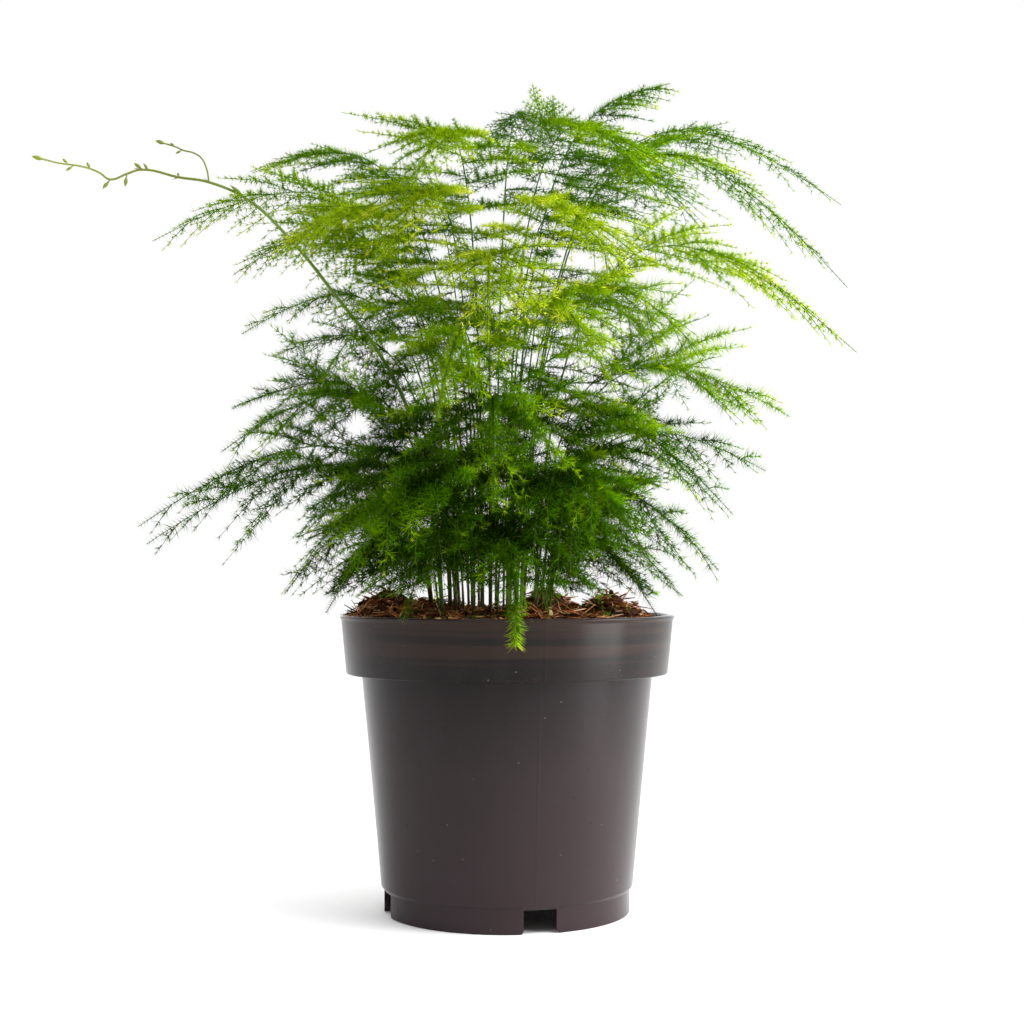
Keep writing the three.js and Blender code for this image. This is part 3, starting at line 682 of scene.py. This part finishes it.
# Each leafy stem of the model: where its plume ends, how high it arches, how far out it is rooted, its
# longest side spray, then its tone from dark to yellow-green, and how full of needles it is.
leafyStems = {
    "top_plume": ((60, 6, 300), 281, 7, 34, 0.28, 1.0),
    "high_right_whip": ((126, 24, 259), 283, 11, 40, 0.25, 0.7),
    "high_right_arch": ((119, -22, 220), 270, 12, 46, 0.38, 0.8),
    "high_left_plume": ((-97, 28, 272), 272, 8, 38, 0.38, 0.9),
    "high_left_arch": ((-127, -8, 239), 256, 11, 42, 0.5, 1.0),
    "high_back_plume": ((14, 84, 280), 298, 8, 44, 0.26, 0.8),
    "high_front_plume": ((-30, -84, 240), 268, 9, 46, 0.53, 1.2),
    "high_front_right": ((50, -78, 236), 272, 8, 46, 0.4, 1.0),
    "high_back_left": ((-64, 76, 256), 272, 11, 44, 0.3, 0.8),
    "high_back_right": ((80, 72, 258), 278, 12, 40, 0.2, 0.8),
    "mid_right_bright": ((120, -32, 196), 236, 16, 50, 0.64, 1.2),
    "mid_left_long": ((-101, 10, 230), 244, 14, 40, 0.5, 1.2),
    "mid_left_bright": ((-78, -44, 226), 246, 14, 44, 0.62, 1.2),
    "mid_left_slim": ((-100, 24, 210), 222, 15, 24, 0.4, 1.0),
    "mid_back_left": ((-36, 94, 212), 226, 14, 42, 0.25, 0.8),
    "mid_back_right": ((58, 86, 214), 232, 16, 42, 0.25, 0.8),
    "mid_front_right": ((34, -76, 178), 212, 14, 44, 0.66, 1.0),
    "mid_front_left": ((-22, -82, 168), 202, 15, 46, 0.52, 1.2),
    "low_right_fan": ((101, -8, 176), 194, 18, 56, 0.52, 1.2),
    "low_right_dark": ((90, 46, 184), 198, 18, 46, 0.25, 0.8),
    "low_left_fine": ((-84, -4, 198), 204, 17, 28, 0.3, 0.8),
    "low_left_dusty": ((-104, 26, 182), 190, 18, 38, 0.15, 1.0),
    "low_left_fan": ((-99, -26, 162), 184, 18, 52, 0.4, 1.0),
    "low_back_fan": ((4, 96, 170), 186, 18, 38, 0.2, 0.8),
    "base_left_sweep": ((-134, 4, 137), 166, 21, 44, 0.28, 1.0),
    "base_left_low": ((-121, -42, 130), 158, 21, 44, 0.25, 1.0),
    "base_left_droop": ((-86, 42, 112), 144, 21, 38, 0.15, 1.0),
    "base_right_sweep": ((96, 16, 158), 172, 21, 40, 0.25, 1.0),
    "base_right_droop": ((72, -36, 121), 150, 21, 38, 0.3, 0.95),
    "base_right_low": ((66, 36, 111), 138, 22, 32, 0.2, 0.8),
    "front_hanging": ((3, -69, 97), 130, 21, 11, 0.3, 1.3),
    "front_left_low": ((-52, -68, 118), 150, 21, 46, 0.35, 1.0),
    "front_right_low": ((46, -72, 124), 156, 20, 42, 0.3, 1.0),
    "back_left_low": ((-54, 76, 128), 152, 21, 37, 0.2, 0.8),
    "back_right_low": ((50, 84, 132), 156, 21, 37, 0.2, 0.8),
    "inner_front": ((-4, -72, 140), 180, 16, 44, 0.4, 0.9),
    "inner_front_left": ((-26, -62, 116), 148, 19, 42, 0.2, 0.9),
    "inner_front_right": ((26, -60, 120), 152, 19, 42, 0.28, 0.9),
    "inner_left": ((-70, -46, 132), 164, 15, 44, 0.28, 1.0),
    "inner_right": ((76, -42, 140), 172, 18, 42, 0.25, 0.8),
    "inner_back_left": ((-40, 60, 140), 176, 16, 36, 0.2, 0.8),
    "inner_back_right": ((22, 64, 146), 182, 16, 36, 0.2, 0.8),
    "upper_front_left": ((-40, -66, 222), 250, 12, 46, 0.68, 0.9),
    "upper_front_right": ((36, -74, 214), 244, 12, 46, 0.7, 0.9),
    "middle_front": ((-6, -80, 192), 228, 13, 46, 0.72, 0.9),
    "middle_front_right": ((66, -50, 192), 220, 13, 44, 0.52, 0.8),
    "middle_front_left": ((-62, -52, 184), 214, 13, 40, 0.42, 0.8),
    "base_front_left": ((-34, -56, 104), 134, 20, 44, 0.2, 0.9),
    "base_front_right": ((14, -64, 106), 136, 20, 44, 0.2, 0.9),
    "base_left_inner": ((-64, -12, 106), 134, 21, 42, 0.15, 1.0),
    "base_right_inner": ((54, -8, 104), 132, 21, 40, 0.15, 0.8),
}

# Shares are parts of the way along a stem or spray, from 0 at its root to 1 at its tip. Angles are degrees.
leafyStem = {
    "firstSeed": 100,
    "clump": (-6, 1),
    "footRadius": 0.54,
    "tipRadius": 0.1,
    "sunk": 6,
    "steps": 26,
    "carry": 0.45,
    "carryOfHanging": 1,
    "drop": 0.15,
    "look": 0.004,  # the share ahead that gives the stem's direction
}

plume = {
    "lowCrest": 222,  # a stem that arches no higher than this has the values named Low
    "sprays": 23,
    "spraysLow": 18,
    "firstSpray": 0.34,
    "firstSprayLow": 0.15,
    "lastSpray": 0.93,
    "sprayJitter": 0.006,
    "sprayLength": (0.65, 1.05),  # of the longest
    "shortest": 3,
    "rootAngle": 66,
    "tipAngle": 24,
    "angleSpread": 7,
    "steepest": 0.12,
    "tilt": 10,
    "tiltLow": 42,
    "roll": 14,
    "rollOf": {"high_right_whip": -5, "high_right_arch": 6, "mid_left_slim": 6, "low_right_fan": 0},
    "highest": 302,  # no spray's tip is above this or below the next, but the hanging stem's
    "lowest": 113,
    "innerSprays": 6,
    "innerFrom": 0.05,
    "innerTo": 0.3,
    "innerLength": (14, 30),
}

# A side spray, with tufts of needles and branchlets along it
spray = {
    "radius": 0.2,
    "taper": 0.7,
    "forward": 0.2,
    "sag": 0.22,
    "toneSpread": 0.08,
    "yellowTips": 0.18,  # as a share of all sprays
    "yellowTone": 0.5,
    "greenTone": 0.14,
    "crownTone": 0.1,
    "firstTuft": (1, 2.5),
    "tipFrom": 0.8,
    "tipScale": 0.55,
    "branchletGap": 4.8,
    "branchletLength": 11.5,
    "branchletSpread": (0.75, 1.1),
    "mostTufts": 7,
    "fullLength": 24,  # a shorter spray has shorter branchlets
    "rootSlant": 46,
    "tipSlant": 30,
    "slantSpread": 8,
    "lift": (-0.16, 0.2),
}

# The tufts on the end of the stem itself: their size and how much yellower they get towards the tip
tail = {"from": 0.62, "tufts": 54, "size": (1, 0.4), "sizeBend": 2, "yellowing": 0.2, "toneBend": 1}
tailOfHanging = {"from": 0.62, "tufts": 72, "size": (0.8, 0.95), "sizeBend": 1, "yellowing": 0.55,
                 "toneBend": 3}

needle = {
    "seed": 12,
    "seedHigh": 11,
    "radius": 0.155,
    "length": 5,
    "lengthHigh": 3.1,
    "lengthSpread": (0.8, 1.1),
    # painted shade at each needle's root, and a painted highlight towards its tip
    "rootShade": -0.26,
    "tipHighlight": (0.02, 0.34),
    "pairsInTuft": 3,
    "mayHavePairs": (2, 3, 4),
    "lean": 58,  # from the twig
    "leanSpread": 20,
    "tipLean": 30,
    "tipLength": 2.2,
    "tuftGap": 1.8,
    "tuftShapes": 6,
    "branchletShapes": 3,
    "branchletRadius": 0.2,
    "branchletTip": 0.07,
    "branchletDroop": 0.012,
}

# Painted shade and light on the foliage: how much darker it is low and deep in the clump, where shade falls,
# and how much lighter high up and outside, where light falls
clumpShade = {
    "from": 130,
    "over": 140,
    "clumpRadius": 60,
    "bottom": -0.17,
    "top": 0.03,
    "deepBottom": -0.26,
    "deepTop": -0.1,
    "outside": 0.06,
    "fade": 1.5,
}


# A tuft of needles round a twig that runs along Z. The needles come in pairs, one on each side of the
# twig, which share their root.
def needleTuft(draw, pairs, lean, length):
    bm = bmesh.new()
    shade = bm.verts.layers.float.new("shade")
    for i in range(pairs):
        one = addCone(bm, 3, needle["radius"], 0, 2, capped=False)
        bmesh.ops.translate(bm, vec=(0, 0, 1), verts=one)
        sides = list(dict.fromkeys(face for vert in one for face in vert.link_faces))
        other = bmesh.ops.mirror(bm, geom=one + sides, axis="Z", merge_dist=0.001)
        both = [part for part in one + other["geom"]
                if isinstance(part, bmesh.types.BMVert) and part.is_valid]
        both = list(dict.fromkeys(both))  # once each, and in the same order in every run
        for vert in both:
            # each needle's tip gets a painted highlight, its root painted shade
            if abs(vert.co.z) > 1:
                slant = math.radians(lean + draw.uniform(-needle["leanSpread"], needle["leanSpread"]))
                size = length * draw.uniform(*needle["lengthSpread"])
                vert.co = (math.cos(slant) * size, 0, math.copysign(math.sin(slant) * size, vert.co.z))
                vert[shade] = draw.uniform(*needle["tipHighlight"])
            else:
                vert[shade] = needle["rootShade"]
        turn = Matrix.Rotation(math.pi * (i + draw.uniform(-0.3, 0.3)) / pairs, 4, "Z")
        bmesh.ops.transform(bm, matrix=turn @ Matrix.Rotation(-math.pi / 2, 4, "Y"), verts=both)
    return meshFrom(bm)


# A short twig of so many tufts along Z, which droops towards -Y
def branchletShape(draw, tufts, pairs, needleLength):
    bm = bmesh.new()
    bm.verts.layers.float.new("shade")
    length = tufts * needle["tuftGap"]
    twig = addCone(bm, 3, needle["branchletRadius"], needle["branchletTip"], length)
    bmesh.ops.translate(bm, vec=(0, 0, length / 2), verts=twig)
    for i in range(1, tufts + 1):
        taper = lerp(1, 0.5, (i / tufts) ** 2)
        lean = needle["tipLean"] if i == tufts else needle["lean"]
        tuft = needleTuft(draw, pairs, lean, needleLength * taper)
        spin = Matrix.Rotation(draw.uniform(0, 2 * math.pi), 4, "Z")
        addCopy(bm, tuft, Matrix.Translation((0, 0, (i - 0.35) * needle["tuftGap"])) @ spin)
    for vert in bm.verts:
        vert.co.y -= needle["branchletDroop"] * vert.co.z ** 2
    return meshFrom(bm)


# The tufts and branchlets that the plumes are put together from, by their size and fullness
def leafParts(draw, needleLength):
    some = range(needle["tuftShapes"])
    tufts = {pairs: [needleTuft(draw, pairs, needle["lean"], needleLength) for _ in some]
             for pairs in needle["mayHavePairs"]}
    tufts["tip"] = [needleTuft(draw, 2, needle["tipLean"], needle["tipLength"]) for _ in some]
    branchlets = {(size, pairs): [branchletShape(draw, size, pairs, needleLength)
                                  for _ in range(needle["branchletShapes"])]
                  for size in range(1, spray["mostTufts"] + 1) for pairs in needle["mayHavePairs"]}
    return tufts, branchlets


# A stem's path from its foot to its tip, as a curve with two handles, one right above the foot
def stemRun(tip, crest, ring, carry):
    clumpX, clumpY = leafyStem["clump"]
    end = Vector(tip)
    reach = math.hypot(end.x - clumpX, end.y - clumpY)
    foot = Vector((clumpX + ring * (end.x - clumpX) / reach, clumpY + ring * (end.y - clumpY) / reach, 0))
    foot.z = soilTop(foot.x, foot.y) - leafyStem["sunk"]
    drop = leafyStem["drop"]
    # six tenths of the way the foot counts 0.064, the handles 0.288 and 0.432 and the tip 0.216, and
    # the curve is as high as the crest there
    handle = (crest - 0.064 * foot.z - (0.216 + 0.432 * drop) * end.z) / (0.72 - 0.432 * drop)
    lift = foot.lerp(end, 0.05)
    arch = foot.lerp(end, carry)
    lift.z = handle
    arch.z = lerp(handle, end.z, drop)

    def at(share):
        rest = 1 - share
        return (foot * rest ** 3 + lift * (3 * rest * rest * share) + arch * (3 * rest * share * share)
                + end * share ** 3)
    return at


# The directions across a twig and square to the plume's plane, as a turn from a shape's own axes
def facing(place, along, flat):
    side = flat - along * flat.dot(along)
    side.normalize()
    over = along.cross(side)
    return Matrix.Translation(place) @ Matrix((side, over, along)).transposed().to_4x4()


# Across a twig, also where it hangs straight down
def sideOf(ahead):
    side = ahead.cross(up)
    return side if side.length > 0.1 else Vector((1, 0, 0))


# Painted shade: foliage low or deep in the clump is painted darker, and foliage high up and outside is
# painted lighter
def paintedShadeTone(place):
    height = max(0, min(1, (place.z - clumpShade["from"]) / clumpShade["over"]))
    outward = min(1, math.hypot(place.x, place.y) / clumpShade["clumpRadius"])
    deep = lerp(clumpShade["deepBottom"], clumpShade["deepTop"], height)
    return lerp(clumpShade["bottom"], clumpShade["top"], height) + lerp(deep, clumpShade["outside"], outward ** clumpShade["fade"])


def buildLeafyStem(node, index, highParts, lowParts, materials):
    tip, crest, ring, longest, tone, fullness = leafyStems[node]
    high = crest > plume["lowCrest"]
    tufts, branchlets = highParts if high else lowParts
    draw = random.Random(leafyStem["firstSeed"] + index)
    hanging = node == "front_hanging"
    carry = leafyStem["carryOfHanging"] if hanging else leafyStem["carry"]
    at = stemRun(tip, crest, ring, carry)
    fewest, *_, most = needle["mayHavePairs"]
    pairs = max(fewest, min(most, round(needle["pairsInTuft"] * fullness)))
    shares = [i / leafyStem["steps"] for i in range(leafyStem["steps"] + 1)]
    runs = [[(at(s), lerp(leafyStem["footRadius"], leafyStem["tipRadius"], math.sqrt(s))) for s in shares]]
    placed = []  # shape, place and tone of each tuft and branchlet

    def laySpray(start, along, way, length, grown):
        def onSpray(part):
            return (start + way * (length * part) + along * (spray["forward"] * length * part * part)
                    - up * (spray["sag"] * length * part * part))

        runs.append([(onSpray(part), spray["radius"] * (1 - spray["taper"] * part))
                     for part in (0, 0.33, 0.67, 1)])
        sprayTone = tone + draw.uniform(-spray["toneSpread"], spray["toneSpread"])
        tipTone = spray["yellowTone"] if draw.random() < spray["yellowTips"] else spray["greenTone"]
        distance = draw.uniform(*spray["firstTuft"])
        branchSide = 1
        while distance < length:
            part = distance / length
            place = onSpray(part)
            ahead = (onSpray(part + 0.05) - place).normalized()
            flat = sideOf(along)
            # the tone adds the spray's own youth and the painted shade low and deep in the clump
            youthAndShade = sprayTone + tipTone * part * part + spray["crownTone"] * grown ** 3 + paintedShadeTone(place)
            kind = pairs if part < spray["tipFrom"] else "tip"
            size = Matrix.Scale(lerp(1, spray["tipScale"], part * part), 4)
            placed.append((draw.choice(tufts[kind]), facing(place, ahead, flat) @ size, youthAndShade))
            # the branchlets are longest a fifth of the way out
            wanted = spray["branchletLength"] * min(1, 0.5 + 2.5 * part) * (1 - part) ** 0.75
            wanted *= draw.uniform(*spray["branchletSpread"]) * min(1, length / spray["fullLength"])
            count = min(spray["mostTufts"], round(wanted / needle["tuftGap"]))
            if count >= 1:
                across = sideOf(ahead).normalized() * branchSide
                slant = lerp(spray["rootSlant"], spray["tipSlant"], part)
                slant = math.radians(slant + draw.uniform(-spray["slantSpread"], spray["slantSpread"]))
                twigWay = ahead * math.cos(slant) + across * math.sin(slant)
                twigWay += up * draw.uniform(*spray["lift"])
                twigWay.normalize()
                shape = draw.choice(branchlets[count, pairs])
                placed.append((shape, facing(place, twigWay, across.cross(up) + ahead * 0.1), youthAndShade))
            branchSide = -branchSide
            distance += spray["branchletGap"] * draw.uniform(0.8, 1.2) / 2
        placed.append((draw.choice(tufts["tip"]), facing(onSpray(1), way.normalized(), flat), youthAndShade + 0.1))

    # each plume is rolled a little about its stem, so that it shows its flat face
    roll = plume["rollOf"].get(node, plume["roll"] * (1 if index % 3 else -1))
    sprays = plume["sprays"] if high else plume["spraysLow"]
    firstSpray = plume["firstSpray"] if high else plume["firstSprayLow"]
    for k in range(sprays + 1):
        share = lerp(firstSpray, plume["lastSpray"], k / sprays)
        share = min(0.995, share + draw.uniform(-plume["sprayJitter"], plume["sprayJitter"]))
        start = at(share)
        along = at(share + leafyStem["look"]) - start
        outward = math.hypot(along.x, along.y)
        along.z = min(along.z, plume["steepest"] * outward)
        along.normalize()
        side = 1 if k % 2 else -1
        sideways = along.cross(up).normalized() * side
        grown = max(0, (share - firstSpray) / (1 - firstSpray))
        # the sprays are longest a sixth of the way along, and the 1.15 makes up for how short others are
        length = 1.15 * longest * draw.uniform(*plume["sprayLength"]) * min(1, 0.5 + 3 * grown)
        length = length * (1 - grown) ** 0.9 + plume["shortest"]
        angle = lerp(plume["rootAngle"], plume["tipAngle"], grown)
        angle = math.radians(angle + draw.uniform(-plume["angleSpread"], plume["angleSpread"]))
        way = along * math.cos(angle) + sideways * math.sin(angle)
        tilt = plume["tilt"] if high else plume["tiltLow"]
        lean = draw.uniform(-tilt, tilt) - roll * sideways.y * math.sin(angle)
        way += up * math.tan(math.radians(lean))
        if not hanging:
            end = start.z + length * (way.z - spray["sag"] + spray["forward"] * along.z)
            way += up * max(0, (plume["lowest"] - end) / length)
            way -= up * max(0, (end - plume["highest"]) / length)
        laySpray(start, along, way, length, grown)

    # short sprays low on the tall stems close the middle of the clump
    for i in range(plume["innerSprays"] if high else 0):
        share = lerp(plume["innerFrom"], plume["innerTo"], (i + draw.random()) / plume["innerSprays"])
        bearing = draw.uniform(0, 2 * math.pi)
        way = Vector((math.cos(bearing), math.sin(bearing), draw.uniform(-0.3, 0.2)))
        laySpray(at(share), way, way, draw.uniform(*plume["innerLength"]), 0)

    plan = tailOfHanging if hanging else tail
    for i in range(plan["tufts"]):
        done = i / plan["tufts"]
        share = lerp(plan["from"], 1, done)
        place = at(share)
        ahead = (at(share + leafyStem["look"]) - place).normalized()
        size = Matrix.Scale(lerp(*plan["size"], done ** plan["sizeBend"]), 4)
        # the tone adds the tail's yellowing and the painted shade low and deep in the clump
        youthAndShade = tone + plan["yellowing"] * done ** plan["toneBend"] + paintedShadeTone(place)
        placed.append((draw.choice(tufts[pairs]), facing(place, ahead, sideOf(ahead)) @ size, youthAndShade))

    bm = bmesh.new()
    bm.verts.layers.float.new("shade")
    twigs = twigMesh(runs)
    bm.from_mesh(twigs)
    bpy.data.meshes.remove(twigs)
    tones = [tone] * len(bm.verts)
    twigFaces = len(bm.faces)
    for shape, matrix, youthAndShade in placed:
        addCopy(bm, shape, matrix)
        tones.extend([max(0, min(1, youthAndShade))] * len(shape.vertices))
    mesh = meshFrom(bm)
    slots = [1] * twigFaces + [0] * (len(mesh.polygons) - twigFaces)  # stem, then needles
    mesh.polygons.foreach_set("material_index", slots)
    setTones(mesh, tones)
    return keepPiece(node + "_plume", mesh, materials, [node])


# Needles: live cladodes, waxy and matt, deep green where old and yellow-green where young, with painted shade
# low and deep in the clump and at each needle's root, and a painted highlight towards each needle's tip
def needleMaterial():
    stops = [(0, "#1d3800"), (0.3, "#4d7e06"), (0.55, "#80ac0c"), (0.8, "#b8d418"), (1, "#e6ea4c")]
    return tonedMaterial("greenCladodes", stops, roughness=0.5, specular=0,
                         mottling={"Scale": 60, "Detail": 2}, depth=0.3, shaded=True)


# Stems: smooth wiry green wood, browner towards the soil
def stemMaterial():
    material, tree, shader = newMaterial("wiryGreenStem")
    place = addNode(tree, "TexCoord")
    split = addNode(tree, "SeparateXYZ", links={0: place.outputs["Object"]})
    height = addNode(tree, "MapRange", inputs={"From Min": 0.1, "From Max": 0.24},
                     links={"Value": split.outputs["Z"]})
    ramp = addNode(tree, "ValToRGB", links={"Fac": height})
    setRamp(ramp, [(0, "#54462a"), (0.3, "#3a561e"), (1, "#355c1a")])
    tree.links.new(ramp.outputs["Color"], shader.inputs["Base Color"])
    shader.inputs["Roughness"].default_value = 0.5
    shader.inputs["Specular IOR Level"].default_value = 0.05
    return material


def buildFoliage():
    highParts = leafParts(random.Random(needle["seedHigh"]), needle["lengthHigh"])
    lowParts = leafParts(random.Random(needle["seed"]), needle["length"])
    materials = [needleMaterial(), stemMaterial()]
    total = 0
    for index, node in enumerate(leafyStems):
        piece = buildLeafyStem(node, index, highParts, lowParts, materials)
        faces = countTriangles(piece.data)
        total += faces
        print(f"  {node}: {faces} triangles")
    print(f"foliage: {len(leafyStems)} leafy stems, {total} triangles")


# Young shoot

youngShoot = {
    "route": [(-22, -13, 98), (-25, -13, 130), (-33, -12, 172), (-44, -11, 196), (-61, -11, 219),
              (-78, -10, 240), (-93, -8, 254), (-107, -7, 260.5), (-118, -6, 262.5), (-132, -5, 265.5),
              (-137, -5, 264), (-143, -5, 262), (-147, -5, 264.5), (-152.5, -5, 266.5), (-162, -5, 268),
              (-167, -5, 269.3)],
    "twig": [(-107, -7, 260.5), (-108, -6.5, 265.5), (-110, -6, 269.5), (-113, -5.5, 271.5),
             (-116.6, -5, 272.5), (-119.5, -5, 273.8), (-122.6, -5, 274.8)],
    "footRadius": 0.85,
    "tipRadius": 0.3,
    "bracts": 9,
    "bractRadius": 0.7,
    "bractLength": 3.4,
    "bractFlatness": 0.45,
    "bractless": 7,  # points of the route at its tip
}

# Buds: root, way, length, radius
youngBuds = [
    ((-166, -5, 269), (-1, 0, 0.25), 5.5, 0.9),
    ((-158, -5, 267.4), (-0.7, 0.2, 0.7), 3.4, 0.55),
    ((-156, -5, 267.1), (-0.8, -0.2, -0.6), 3.6, 0.55),
    ((-150, -5, 265.6), (-0.5, 0, 0.9), 3, 0.6),
    ((-137, -5, 264), (-0.1, -0.1, -1), 4.8, 0.7),
    ((-142.8, -5, 262.1), (-0.7, 0.1, -0.8), 4.6, 0.65),
    ((-131, -5, 265.3), (-0.9, 0.1, 0.7), 4.4, 0.75),
    ((-129, -5.2, 264.9), (-0.6, -0.3, 0.9), 3.4, 0.5),
    ((-118, -6, 262.5), (-0.3, 0.5, 0.9), 2.4, 0.45),
    ((-93, -8, 254), (-0.9, -0.1, 0.75), 8, 0.75),
    ((-122.4, -5, 274.7), (-1, 0, 0.3), 4.6, 0.8),
    ((-117, -5, 272.7), (-0.9, 0, -0.5), 2.8, 0.45),
    ((-119.5, -5, 273.8), (-0.8, 0.3, 0.6), 2.8, 0.45),
]


def buildYoungShoot():
    route, twig = youngShoot["route"], youngShoot["twig"]
    shootRun = [(Vector(place), lerp(youngShoot["footRadius"], youngShoot["tipRadius"],
                                     (i / (len(route) - 1)) ** 0.6)) for i, place in enumerate(route)]
    twigRun = [(Vector(place), youngShoot["tipRadius"]) for place in twig]
    bm = bmesh.new()
    for mesh in (twigMesh([shootRun, twigRun], roundness=2, kind="BEZIER", fineness=6),
                 twigMesh([budRun(*bud) for bud in youngBuds], roundness=1)):
        bm.from_mesh(mesh)
    tones = [0.4] * len(bm.verts)

    # papery bracts, like small thorns, that point up the shoot
    bract = bmesh.new()
    leaf = addCone(bract, 5, youngShoot["bractRadius"], 0, youngShoot["bractLength"])
    bmesh.ops.translate(bract, vec=(0, 0, 1.2), verts=leaf)
    bmesh.ops.scale(bract, vec=(1, youngShoot["bractFlatness"], 1), verts=leaf)
    shape = meshFrom(bract)
    for i in range(youngShoot["bracts"]):
        at = 1 + i * (len(route) - youngShoot["bractless"]) / youngShoot["bracts"]
        low, part = int(at), at - int(at)
        place = Vector(route[low]).lerp(Vector(route[low + 1]), part)
        along = (Vector(route[low + 1]) - Vector(route[low])).normalized()
        outward = along.cross(Vector((0, 1, 0))).normalized() * (1 if i % 2 else -1)
        way = (along * 0.85 + outward * 0.5).normalized()
        addCopy(bm, shape, facing(place, way, Vector((0, 1, 0))))
        tones.extend([0.9] * len(shape.vertices))

    mesh = meshFrom(bm)
    setTones(mesh, tones)
    keepPiece("climbing_shoot", mesh, [youngMaterial()], ["young_shoot"])
    print(f"young shoot: {len(mesh.polygons)} faces")


# A bud: a short spindle on its stalk
def budRun(root, way, length, radius):
    way = Vector(way).normalized()
    swell = [(0, 0.4), (0.25, 0.35), (0.4, 0.7), (0.55, 1), (0.7, 0.9), (0.85, 0.55), (1, 0.08)]
    return [(Vector(root) + way * (length * part), radius * girth) for part, girth in swell]


# Young stem: smooth and faintly glossy, olive below and yellow-green towards its soft tip
def youngMaterial():
    material, tree, shader = newMaterial("youngGreenStem")
    tone = addNode(tree, "Attribute", {"attribute_name": "tone"})
    place = addNode(tree, "TexCoord")
    centred = addNode(tree, "Mapping", inputs={"Location": -potAxis},
                      links={"Vector": place.outputs["Object"]})
    split = addNode(tree, "SeparateXYZ", links={0: centred})
    nearTip = addNode(tree, "MapRange", inputs={"From Min": -0.03, "From Max": -0.16},
                      links={"Value": split.outputs["X"]})
    green = addNode(tree, "ValToRGB", links={"Fac": nearTip})
    setRamp(green, [(0, "#4f7420"), (0.45, "#73902f"), (0.7, "#77802f"), (1, "#95a23a")])
    dry = addNode(tree, "MapRange", inputs={"From Min": 0.6, "From Max": 0.85},
                  links={"Value": tone.outputs["Fac"]})
    coloured = addNode(tree, "Mix", {"data_type": "RGBA"}, {"B": linearColour("#8d7a3e")},
                       {"Factor": dry, "A": green.outputs["Color"]})
    streaks = addNode(tree, "TexNoise", inputs={"Scale": 260, "Detail": 3},
                      links={"Vector": place.outputs["Object"]})
    patchy = addNode(tree, "Mix", {"data_type": "RGBA", "blend_type": "MULTIPLY"},
                     {"Factor": 0.3}, {"A": coloured.outputs["Result"], "B": streaks.outputs["Fac"]})
    tree.links.new(patchy.outputs["Result"], shader.inputs["Base Color"])
    shader.inputs["Roughness"].default_value = 0.4
    shader.inputs["Specular IOR Level"].default_value = 0.2
    return material


buildStudio()
buildPot()
buildSoil()
buildFoliage()
buildYoungShoot()
